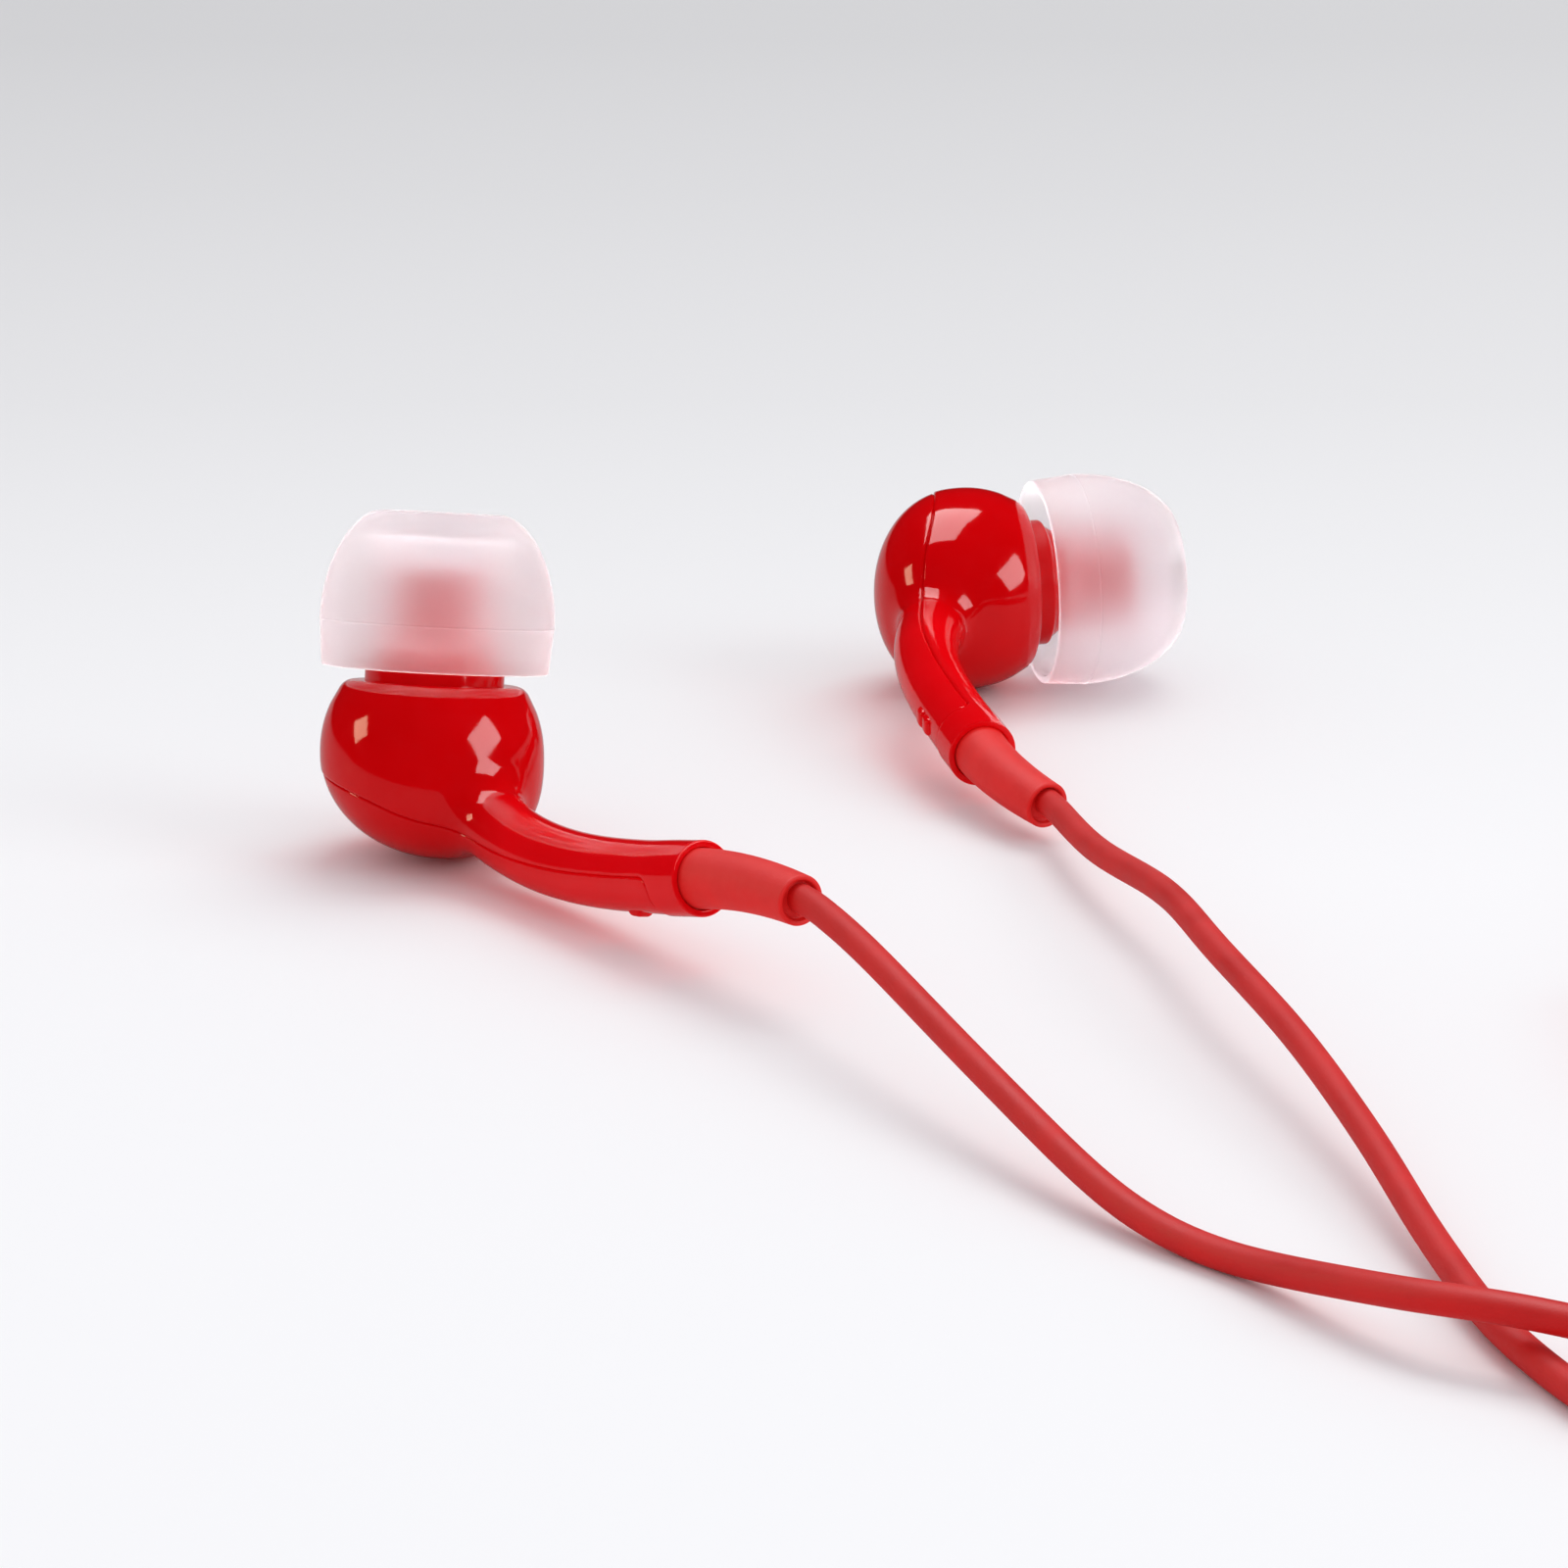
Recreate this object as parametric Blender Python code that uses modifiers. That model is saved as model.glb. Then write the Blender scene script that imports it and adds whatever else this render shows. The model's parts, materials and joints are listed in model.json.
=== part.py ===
"""Wired in-ear earphones, laid out on a table.

Metres, +Z up.  The table is z = 0.  Lengths below are in millimetres and are
scaled by MM when a shape is made.  Each earpiece is modelled in its own frame:
origin in the middle of the housing's front face, +Z along the ear tip,
+X towards the arm that carries the cable.
"""
import math

import bmesh
import bpy
from mathutils import Matrix, Vector

MM = 0.001

# ---- where the object stands ------------------------------------------------
LAYOUT_OFFSET = (-38.938, 37.525, 0.0)       # puts the origin under the middle of the layout
LEFT_FRONT_FACE = (-18.65, -12.05, 9.14)
LEFT_TIP_AXIS = (0.052, 0.221, 0.974)
LEFT_ARM_AXIS = (0.610, -0.779, 0.145)
LEFT_SLEEVE_END = (33.1, -0.35, -8.5)      # in the earpiece's frame
RIGHT_FRONT_FACE = (14.35, 21.7, 6.14)
RIGHT_TIP_AXIS = (0.982, 0.186, 0.027)
RIGHT_ARM_AXIS = (0.179, -0.976, -0.123)
RIGHT_SLEEVE_END = (32.6, -0.1, -6.4)

# ---- housing ----------------------------------------------------------------
HOUSING_STEPS = 28
COLLAR_RADIUS = 3.72
COLLAR_HEIGHT = 1.0
FRONT_EDGE_RADIUS = 4.77
HOUSING_RADIUS = 5.98
WIDEST_Z = -3.9
HOUSING_BACK_Z = -9.35
NOZZLE_RADIUS = 2.2
NOZZLE_LIP_RADIUS = 2.4
NOZZLE_END_Z = 6.15
NOZZLE_BORE_RADIUS = 1.5
SCREEN_SEAT_RADIUS = 1.9
SCREEN_SEAT_Z = 5.75
LEDGE_RADIUS = 3.7
LEDGE_Z = -1.7
DRIVER_BORE_RADIUS = 4.65
DRIVER_BORE_BACK_Z = -4.9
CAVITY_BACK_Z = -8.35
LEAN_START_Z = -5.0                        # behind this the dome leans towards the arm
LEAN = 0.3
SEAM_GAP = 0.12

# ---- arm and strain relief --------------------------------------------------
ARM_BEZIER = ((2.5, -5.0), (8.5, -9.6), (16.3, -8.9), (24.7, -8.2))
ARM_RADIUS = 1.88
ARM_ROOT_FLARE = 0.7
ARM_END_RADIUS = 1.93
ARM_SIDES_LEVEL = 4
ARM_BORE_RADIUS = 1.15
MOUTH_RADIUS = 1.72
MOUTH_DEPTH = 1.4
REAR_HALF_END_X = 22.4
SEAM_OUTLINE = ((-9.0, -4.1), (-3.7, -4.9), (1.5, -6.0), (4.7, -7.25),
                (9.3, -8.35), (14.0, -8.7), (18.5, -8.6), (REAR_HALF_END_X, -8.35))
SLEEVE_ROOT_RADIUS = 1.54
SLEEVE_END_RADIUS = 1.28
SLEEVE_BORE_RADIUS = 0.98
MARK_X = 19.6

# ---- ear tip ----------------------------------------------------------------
TIP_STEPS = 28
TIP_RIM_RADIUS = 6.04
TIP_RIM_Z = 0.7
TIP_RADIUS = 6.25
TIP_WIDEST_Z = 3.2
TIP_TOP_RADIUS = 3.75
TIP_TOP_Z = 9.05
TIP_SKIN = 0.45
TIP_BORE_RADIUS = 2.52
TIP_MOUTH_RADIUS = 1.9
TIP_TUBE_RADIUS = 3.3
TIP_TUBE_START_Z = 1.25

# ---- driver -----------------------------------------------------------------
DRIVER_STEPS = 20
DRIVER_RADIUS = 4.5

# ---- cable ------------------------------------------------------------------
BRANCH_RADIUS = 0.72
MAIN_RADIUS = 1.0
CABLE_SIDES_LEVEL = 1
TAIL_RECESS = 0.55                         # the tail ends this far inside the sleeve
FLEX_CLEARANCE = 0.3                       # the branch starts this far beyond the flex point
LEFT_RUN = ((3.7, -45.9, 5.3), (8.9, -57.6, 3.3), (13.8, -67.8, 1.4), (16.9, -72.6, 0.8),
            (20.0, -76.0, 0.85), (25.7, -83.6, 2.5), (30.2, -86.3, 2.8), (38.0, -90.0, 2.2),
            (50.0, -96.0, 1.0), (61.0, -99.8, 0.78))
RIGHT_RUN = ((16.3, -20.9, 2.5), (19.2, -31.2, 3.4), (21.0, -41.0, 3.6), (23.8, -52.6, 3.1),
             (26.1, -63.7, 2.1), (27.9, -74.5, 1.1), (30.0, -84.8, 0.78), (34.5, -94.5, 0.78),
             (44.0, -101.0, 0.78), (57.0, -102.9, 0.78))

# ---- coil -------------------------------------------------------------------
COIL_X = 73.0
COIL_LOW_Y = -75.0
COIL_HIGH_Y = -25.0
COIL_RADIUS = 26.8                         # to the middle of the branch pair
PAIR_SPACING = 2.4
FIRST_MAIN_RADIUS = 21.6
COIL_PITCH = 3.0
MAIN_TURNS = 4
BEND_STEP = math.radians(15.0)
SLIDER_HEIGHT = 3.0
SLIDER_SIZE = (5.8, 7.0, SLIDER_HEIGHT)
SLIDER_Y = -66.0
SPLITTER_SIZE = (6.8, 18.0, 4.2)
SPLITTER_Y = -48.0
HOLE_CLEARANCE = 0.3

# ---- plug -------------------------------------------------------------------
PLUG_HEIGHT = 2.9
PLUG_SHOULDER_Y = -44.0
PLUG_PIN_LENGTH = 14.0
PLUG_STEPS = 20


# ---- scene ------------------------------------------------------------------
def clear_scene():
    for obj in list(bpy.data.objects):
        bpy.data.objects.remove(obj, do_unlink=True)


def new_collection(name):
    collection = bpy.data.collections.new(name)
    bpy.context.scene.collection.children.link(collection)
    return collection


clear_scene()
EARPHONES = new_collection("wired_earphones")


def material(name, colour, roughness, metallic=0.0):
    result = bpy.data.materials.new(name)
    result.use_nodes = True
    shader = result.node_tree.nodes["Principled BSDF"]
    shader.inputs["Base Color"].default_value = (*colour, 1.0)
    shader.inputs["Roughness"].default_value = roughness
    shader.inputs["Metallic"].default_value = metallic
    result.diffuse_color = (*colour, 1.0)
    return result


GLOSS_RED = material("gloss_red", (0.55, 0.003, 0.006), 0.12)
MATTE_RED = material("matte_red", (0.60, 0.035, 0.032), 0.55)
SILICONE = material("silicone", (0.90, 0.82, 0.83), 0.45)
STEEL = material("steel", (0.55, 0.55, 0.56), 0.35, 1.0)
NICKEL = material("nickel", (0.75, 0.73, 0.68), 0.2, 1.0)
MAGNET = material("magnet", (0.35, 0.35, 0.37), 0.4, 1.0)
FILM = material("film", (0.75, 0.72, 0.65), 0.3)
COPPER = material("copper", (0.72, 0.35, 0.18), 0.35, 1.0)
GREEN_WIRE = material("green_wire", (0.05, 0.35, 0.12), 0.4)
BOARD = material("board", (0.08, 0.30, 0.14), 0.5)
FELT = material("felt", (0.12, 0.12, 0.12), 0.95)
BLACK_PLASTIC = material("black_plastic", (0.03, 0.03, 0.03), 0.45)
GREY_PLASTIC = material("grey_plastic", (0.35, 0.35, 0.36), 0.5)


# ---- modelling helpers ------------------------------------------------------
def add_object(name, data):
    obj = bpy.data.objects.new(name, data)
    EARPHONES.objects.link(obj)
    return obj


def finish_piece(obj, finish, parent=None):
    """Give a piece its material, smooth shading and parent."""
    mesh = obj.data
    mesh.materials.clear()
    mesh.materials.append(finish)
    mesh.shade_smooth()
    mesh.set_sharp_from_angle(angle=math.radians(32.0))
    obj.parent = parent
    return obj


def frozen(obj):
    """Turn an object with modifiers, or a curve, into a plain closed mesh object."""
    name = obj.name
    bpy.context.view_layer.update()
    evaluated = obj.evaluated_get(bpy.context.evaluated_depsgraph_get())
    mesh = bpy.data.meshes.new_from_object(evaluated)
    mesh.name = name
    shape = bmesh.new()
    shape.from_mesh(mesh)
    bmesh.ops.remove_doubles(shape, verts=shape.verts, dist=1e-7)
    bmesh.ops.recalc_face_normals(shape, faces=shape.faces)
    shape.to_mesh(mesh)
    shape.free()
    place = obj.matrix_world.copy()
    bpy.data.objects.remove(obj, do_unlink=True)
    result = add_object(name, mesh)
    result.matrix_world = place
    return result


def turned(name, profile, steps, ring=False):
    """Turn a profile of (radius, z) points about Z; a ring's profile closes on itself."""
    points = [(radius * MM, 0.0, z * MM) for radius, z in profile]
    edges = [(i, i + 1) for i in range(len(points) - 1)]
    if ring:
        edges.append((len(points) - 1, 0))
    mesh = bpy.data.meshes.new(name)
    mesh.from_pydata(points, edges, [])
    obj = add_object(name, mesh)
    screw = obj.modifiers.new("turn", "SCREW")
    screw.axis = "Z"
    screw.angle = math.tau
    screw.steps = steps
    screw.render_steps = steps
    screw.use_merge_vertices = True
    screw.merge_threshold = 1e-6
    return frozen(obj)


def ring_profile(inner, outer, top, bottom):
    return [(inner, top), (outer, top), (outer, bottom), (inner, bottom)]


def disc_profile(radius, top, bottom):
    return [(0.0, top), (radius, top), (radius, bottom), (0.0, bottom)]


def tube(name, points, radii, level):
    """A solid round tube along points; radii is one radius or one for each point."""
    curve = bpy.data.curves.new(name, "CURVE")
    curve.dimensions = "3D"
    curve.use_fill_caps = True
    curve.bevel_depth = MM
    curve.bevel_resolution = level
    curve.render_resolution_u = 0
    spline = curve.splines.new("POLY")
    spline.points.add(len(points) - 1)
    for index, point in enumerate(points):
        spline.points[index].co = (point[0] * MM, point[1] * MM, point[2] * MM, 1.0)
        spline.points[index].radius = radii if isinstance(radii, float) else radii[index]
    return frozen(add_object(name, curve))


def slab(name, outline, half_width):
    """A prism with an (x, z) outline, reaching half_width to either side in Y."""
    curve = bpy.data.curves.new(name, "CURVE")
    curve.dimensions = "2D"
    curve.fill_mode = "BOTH"
    curve.extrude = half_width * MM
    curve.render_resolution_u = 0
    spline = curve.splines.new("POLY")
    spline.points.add(len(outline) - 1)
    spline.use_cyclic_u = True
    for index, (x, z) in enumerate(outline):
        spline.points[index].co = (x * MM, z * MM, 0.0, 1.0)
    obj = add_object(name, curve)
    obj.matrix_world = Matrix.Rotation(math.radians(90.0), 4, "X")
    return settle(frozen(obj))


def block(name, size, centre, rounding=0.0):
    """A box with its scale applied and, if asked, rounded edges."""
    mesh = bpy.data.meshes.new(name)
    shape = bmesh.new()
    bmesh.ops.create_cube(shape, size=1.0)
    bmesh.ops.scale(shape, vec=Vector(size) * MM, verts=shape.verts)
    bmesh.ops.translate(shape, vec=Vector(centre) * MM, verts=shape.verts)
    shape.to_mesh(mesh)
    shape.free()
    obj = add_object(name, mesh)
    if rounding:
        bevel = obj.modifiers.new("round", "BEVEL")
        bevel.width = rounding * MM
        bevel.segments = 2
        return frozen(obj)
    return obj


def settle(obj):
    """Put an object's own place into its mesh, so that it sits at the origin."""
    obj.data.transform(obj.matrix_world)
    obj.matrix_world = Matrix.Identity(4)
    return obj


def copy_of(obj, name):
    return add_object(name, obj.data.copy())


def carve(obj, tool, operation, keep_tool=False):
    """Cut, join or intersect obj with tool."""
    boolean = obj.modifiers.new("carve", "BOOLEAN")
    boolean.operation = operation
    boolean.object = tool
    result = frozen(obj)
    if not keep_tool:
        bpy.data.objects.remove(tool, do_unlink=True)
    return result


def smooth_path(points, steps):
    """Points along a Catmull-Rom curve through the given points."""
    path = [Vector(point) for point in points]
    ends = [path[0] * 2 - path[1]] + path + [path[-1] * 2 - path[-2]]
    result = []
    for before, start, end, after in zip(ends, ends[1:], ends[2:], ends[3:]):
        for step in range(steps):
            t = step / steps
            result.append(0.5 * (2 * start + (end - before) * t
                                 + (2 * before - 5 * start + 4 * end - after) * t ** 2
                                 + (3 * start - before - 3 * end + after) * t ** 3))
    result.append(path[-1])
    return result


# ---- earpiece outlines ------------------------------------------------------
def dome_points(radius, start_z, end_z, count):
    """A full, slightly squared dome from its rim back to the axis."""
    points = []
    for step in range(1, count + 1):
        angle = 0.5 * math.pi * step / count
        points.append((radius * math.cos(angle) ** 0.95,
                       start_z + (end_z - start_z) * math.sin(angle) ** 0.88))
    points[-1] = (0.0, end_z)
    return points


def housing_profile():
    profile = [(0.0, NOZZLE_END_Z), (NOZZLE_LIP_RADIUS - 0.15, NOZZLE_END_Z),
               (NOZZLE_LIP_RADIUS, NOZZLE_END_Z - 0.2), (NOZZLE_LIP_RADIUS, 5.3),
               (NOZZLE_RADIUS, 5.0), (NOZZLE_RADIUS, 2.3), (2.6, 1.45), (2.95, COLLAR_HEIGHT),
               (COLLAR_RADIUS, COLLAR_HEIGHT), (COLLAR_RADIUS, 0.0),
               (FRONT_EDGE_RADIUS - 0.2, 0.0), (FRONT_EDGE_RADIUS, -0.18)]
    for step in range(1, 7):
        z = WIDEST_Z * step / 6
        bulge = ((z - WIDEST_Z) / -WIDEST_Z) ** 2.2
        profile.append((HOUSING_RADIUS - (HOUSING_RADIUS - FRONT_EDGE_RADIUS) * bulge, z))
    return profile + dome_points(HOUSING_RADIUS, WIDEST_Z, HOUSING_BACK_Z, 8)


def cavity_profile():
    profile = [(0.0, NOZZLE_END_Z + 0.5), (SCREEN_SEAT_RADIUS, NOZZLE_END_Z + 0.5),
               (SCREEN_SEAT_RADIUS, SCREEN_SEAT_Z), (NOZZLE_BORE_RADIUS, SCREEN_SEAT_Z),
               (NOZZLE_BORE_RADIUS, -0.9), (LEDGE_RADIUS, -0.9), (LEDGE_RADIUS, LEDGE_Z),
               (DRIVER_BORE_RADIUS, LEDGE_Z), (DRIVER_BORE_RADIUS, DRIVER_BORE_BACK_Z)]
    return profile + dome_points(DRIVER_BORE_RADIUS, DRIVER_BORE_BACK_Z, CAVITY_BACK_Z, 5)


def lean_back(obj):
    """Shift what lies behind LEAN_START_Z towards the arm, more the further back it is."""
    for vertex in obj.data.vertices:
        depth = LEAN_START_Z * MM - vertex.co.z
        if depth > 0.0:
            vertex.co.x += LEAN * depth
    return obj


def arm_point(t):
    a, b, c, d = ((1 - t) ** 3, 3 * t * (1 - t) ** 2, 3 * t * t * (1 - t), t ** 3)
    (x0, z0), (x1, z1), (x2, z2), (x3, z3) = ARM_BEZIER
    return (a * x0 + b * x1 + c * x2 + d * x3, 0.0, a * z0 + b * z1 + c * z2 + d * z3)


def arm_path(start, end, count):
    return [arm_point(start + (end - start) * step / count) for step in range(count + 1)]


def arm_direction():
    (x2, z2), (x3, z3) = ARM_BEZIER[2:]
    return Vector((x3 - x2, 0.0, z3 - z2)).normalized()


def sleeve_path(start_depth, sleeve_end, count):
    """From start_depth inside the arm's mouth out to the sleeve's end."""
    mouth = Vector(arm_point(1.0))
    direction = arm_direction()
    end = Vector(sleeve_end)
    reach = (end - mouth).length
    bend = mouth + direction * reach * 0.45
    points = [mouth - direction * start_depth]
    for step in range(count + 1):
        t = step / count
        points.append((1 - t) ** 2 * mouth + 2 * t * (1 - t) * bend + t ** 2 * end)
    return points


# ---- earpiece shells --------------------------------------------------------
def shell_blank():
    """Housing and arm as one solid, then hollowed."""
    blank = lean_back(turned("shell_blank", housing_profile(), HOUSING_STEPS))
    points = arm_path(0.0, 1.0, 14)
    radii = [ARM_RADIUS + ARM_ROOT_FLARE * max(0.0, 1.0 - i / 5) ** 2 for i in range(14)]
    radii += [ARM_END_RADIUS]
    radii[13] = ARM_END_RADIUS
    arm = tube("arm", points, radii, ARM_SIDES_LEVEL)
    blank = carve(blank, arm, "UNION")
    blank = carve(blank, lean_back(turned("cavity", cavity_profile(), HOUSING_STEPS)), "DIFFERENCE")
    beyond = Vector(arm_point(1.0)) + arm_direction()
    bore = tube("arm_bore", arm_path(0.06, 1.0, 12) + [tuple(beyond)], ARM_BORE_RADIUS, 4)
    blank = carve(blank, bore, "DIFFERENCE")
    inside = Vector(arm_point(1.0)) - arm_direction() * MOUTH_DEPTH
    mouth = tube("mouth", [tuple(inside), tuple(beyond)], MOUTH_RADIUS, ARM_SIDES_LEVEL)
    return carve(blank, mouth, "DIFFERENCE")


def front_region():
    outline = list(SEAM_OUTLINE) + [(REAR_HALF_END_X, -14.0), (40.0, -14.0), (40.0, 12.0), (-9.0, 12.0)]
    return slab("front_region", outline, 9.0)


def rear_region():
    outline = [(x, z - SEAM_GAP) for x, z in SEAM_OUTLINE[:-1]]
    end_x, end_z = SEAM_OUTLINE[-1]
    outline += [(end_x - SEAM_GAP, end_z - SEAM_GAP), (end_x - SEAM_GAP, -14.0), (-9.0, -14.0)]
    return slab("rear_region", outline, 9.0)


def side_marks(shell, count):
    """Small raised pads that tell left from right by touch: one on the left, two on the right."""
    centre_z = -8.4 - ARM_RADIUS
    for index in range(count):
        x = MARK_X + (index - (count - 1) / 2) * 1.3
        pad = block("mark", (0.8, 1.1, 0.7), (x, 0.0, centre_z + 0.05), 0.15)
        shell = carve(shell, pad, "UNION")
    return shell


def make_shells(side, blank, marks, parent):
    front = carve(copy_of(blank, side + "_front_shell"), front_region(), "INTERSECT")
    rear = carve(copy_of(blank, side + "_rear_shell"), rear_region(), "INTERSECT")
    rear = side_marks(rear, marks)
    finish_piece(front, GLOSS_RED, parent)
    finish_piece(rear, GLOSS_RED, parent)


# ---- ear tip ----------------------------------------------------------------
def tip_outer_points(shrink):
    """The dome from its top corner down to its rim, shrink inside the outer skin."""
    points = []
    radius = TIP_RADIUS - shrink
    top_radius = TIP_TOP_RADIUS - shrink * 0.4
    top_z = TIP_TOP_Z - shrink
    for step in range(7):
        angle = 0.5 * math.pi * step / 6
        points.append((top_radius + (radius - top_radius) * math.sin(angle) ** 0.9,
                       TIP_WIDEST_Z + (top_z - TIP_WIDEST_Z) * math.cos(angle) ** 0.8))
    points[-1] = (radius, TIP_WIDEST_Z)
    points.append((TIP_RIM_RADIUS - shrink, TIP_RIM_Z))
    return points


def make_ear_tip(side, parent):
    outer = tip_outer_points(0.0)
    inner = tip_outer_points(TIP_SKIN)
    inner_top_z = TIP_TOP_Z - 1.3
    inner = [(radius, min(z, inner_top_z)) for radius, z in reversed(inner)]
    profile = [(TIP_MOUTH_RADIUS, TIP_TOP_Z - 0.25), (TIP_MOUTH_RADIUS + 0.25, TIP_TOP_Z)]
    profile += outer + inner
    profile += [(TIP_TUBE_RADIUS + 0.2, inner_top_z), (TIP_TUBE_RADIUS, inner_top_z - 0.3),
                (TIP_TUBE_RADIUS, TIP_TUBE_START_Z + 0.1),
                (TIP_TUBE_RADIUS - 0.1, TIP_TUBE_START_Z), (3.05, TIP_TUBE_START_Z),
                (2.72, 1.75), (TIP_BORE_RADIUS, 2.35), (TIP_BORE_RADIUS, 6.4),
                (TIP_MOUTH_RADIUS, 6.7)]
    tip = turned(side + "_ear_tip", profile, TIP_STEPS, ring=True)
    finish_piece(tip, SILICONE, parent)


# ---- what the housing holds -------------------------------------------------
def make_nozzle_parts(side, parent):
    screen = turned(side + "_nozzle_screen",
                    disc_profile(SCREEN_SEAT_RADIUS - 0.08, SCREEN_SEAT_Z + 0.25,
                                 SCREEN_SEAT_Z + 0.08), DRIVER_STEPS)
    foam = turned(side + "_nozzle_foam", disc_profile(NOZZLE_BORE_RADIUS - 0.1, 3.6, 1.8), 16)
    finish_piece(screen, STEEL, parent)
    finish_piece(foam, FELT, parent)


def diaphragm_profile():
    """A domed film with a flat rim, as a thin closed ring of points on both of its faces."""
    top = [(0.0, -2.25), (0.9, -2.31), (1.7, -2.56), (2.15, -2.76), (2.9, -2.46), (3.7, -2.62),
           (4.2, -2.62)]
    film = 0.06
    return top + [(radius, z - film) for radius, z in reversed(top)]


def make_driver(side, parent):
    cover = turned(side + "_driver_cover", ring_profile(2.0, DRIVER_RADIUS, -1.76, -1.94),
                   DRIVER_STEPS, ring=True)
    finish_piece(cover, STEEL, parent)
    frame = turned(side + "_driver_frame",
                   [(4.28, -2.04), (DRIVER_RADIUS, -2.04), (DRIVER_RADIUS, -4.6), (2.8, -4.6),
                    (2.8, -3.7), (3.3, -3.3), (4.28, -3.3)], DRIVER_STEPS, ring=True)
    finish_piece(frame, BLACK_PLASTIC, parent)
    yoke = turned(side + "_yoke", [(0.0, -4.62), (2.45, -4.62), (2.45, -3.3), (2.72, -3.3),
                                   (2.72, -5.0), (0.0, -5.0)], DRIVER_STEPS)
    finish_piece(yoke, STEEL, parent)
    magnet = turned(side + "_magnet", disc_profile(1.7, -3.72, -4.57), DRIVER_STEPS)
    finish_piece(magnet, MAGNET, parent)
    plate = turned(side + "_top_plate", disc_profile(1.8, -3.22, -3.67), DRIVER_STEPS)
    finish_piece(plate, STEEL, parent)


def make_moving_coil(side, parent):
    diaphragm = turned(side + "_diaphragm", diaphragm_profile(), DRIVER_STEPS)
    finish_piece(diaphragm, FILM, parent)
    coil = turned(side + "_voice_coil", ring_profile(1.98, 2.27, -2.88, -4.2), DRIVER_STEPS,
                  ring=True)
    finish_piece(coil, COPPER, parent)


def make_wiring(side, sleeve_end, parent):
    board = block(side + "_terminal_board", (1.5, 2.4, 0.3), (3.65, 0.0, -4.85))
    finish_piece(board, BOARD, parent)
    felt = turned(side + "_rear_felt", disc_profile(2.1, -5.15, -5.6), 16)
    finish_piece(felt, FELT, parent)
    start = Vector(arm_point(0.12))
    end = Vector(arm_point(0.66))
    for name, offset, finish in (("_signal_wire", 0.4, COPPER), ("_ground_wire", -0.4, GREEN_WIRE)):
        shift = Vector((0.0, offset, 0.0))
        lead = [Vector((3.9, offset * 1.8, -5.2)), start + shift]
        lead += [Vector(arm_point(0.12 + 0.54 * step / 5)) + shift for step in range(1, 5)]
        lead.append(end + shift)
        wire = tube(side + name, lead, 0.16, 0)
        finish_piece(wire, finish, parent)
    tail_points = arm_path(0.70, 1.0, 4)[:-1] + sleeve_path(0.0, sleeve_end, 4)[1:]
    direction = (tail_points[-1] - Vector(tail_points[-2])).normalized()
    tail_points[-1] = tail_points[-1] - direction * TAIL_RECESS
    tail = tube(side + "_cable_tail", tail_points, BRANCH_RADIUS, 2)
    finish_piece(tail, MATTE_RED, parent)
    crimp_path = arm_path(0.76, 0.84, 2)
    crimp = tube(side + "_cable_crimp", crimp_path, ARM_BORE_RADIUS - 0.08, 4)
    hole = tube("crimp_hole", arm_path(0.70, 0.90, 5), BRANCH_RADIUS + 0.06, 4)
    finish_piece(carve(crimp, hole, "DIFFERENCE"), STEEL, parent)


def make_sleeve(side, sleeve_end, parent):
    path = sleeve_path(MOUTH_DEPTH - 0.3, sleeve_end, 5)
    count = len(path)
    radii = [SLEEVE_ROOT_RADIUS + (SLEEVE_END_RADIUS - SLEEVE_ROOT_RADIUS) * i / (count - 1)
             for i in range(count)]
    sleeve = tube(side + "_strain_relief", path, radii, 5)
    first = Vector(path[0]) * 2 - Vector(path[1])
    last = Vector(path[-1]) * 2 - Vector(path[-2])
    bore = tube("sleeve_bore", [first] + path + [last], SLEEVE_BORE_RADIUS, 4)
    finish_piece(carve(sleeve, bore, "DIFFERENCE"), MATTE_RED, parent)


def earpiece_matrix(front_face, tip_axis, arm_axis):
    z_axis = Vector(tip_axis).normalized()
    x_axis = Vector(arm_axis)
    x_axis = (x_axis - z_axis * x_axis.dot(z_axis)).normalized()
    y_axis = z_axis.cross(x_axis)
    place = Matrix((x_axis, y_axis, z_axis)).transposed().to_4x4()
    place.translation = (Vector(front_face) + Vector(LAYOUT_OFFSET)) * MM
    return place


def make_earpiece(side, place, sleeve_end, blank, marks):
    """One earpiece; its flex point, at the sleeve's mouth, carries all of it."""
    flex = add_object(side + "_flex_point", None)
    flex.matrix_world = Matrix.Translation(place @ (Vector(sleeve_end) * MM))
    earpiece = add_object(side + "_earpiece", None)
    earpiece.parent = flex
    earpiece.matrix_parent_inverse = flex.matrix_world.inverted()
    earpiece.matrix_world = place
    make_ear_tip(side, earpiece)
    make_shells(side, blank, marks, earpiece)
    make_nozzle_parts(side, earpiece)
    make_driver(side, earpiece)
    make_moving_coil(side, earpiece)
    make_wiring(side, sleeve_end, earpiece)
    make_sleeve(side, sleeve_end, earpiece)
    return earpiece


# ---- cable layout -----------------------------------------------------------
def bend_points(start, end, start_radius, end_radius):
    """Points round one end of the coil, from start to end angle in quarter-turn units."""
    count = round(abs(end - start) * 0.5 * math.pi / BEND_STEP)
    centre_y = COIL_HIGH_Y if 0.0 <= start < 2.0 else COIL_LOW_Y
    points = []
    for step in range(count + 1):
        share = step / count
        angle = 0.5 * math.pi * (start + (end - start) * share)
        radius = start_radius + (end_radius - start_radius) * share
        points.append((COIL_X + radius * math.cos(angle), centre_y + radius * math.sin(angle)))
    return points


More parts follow.
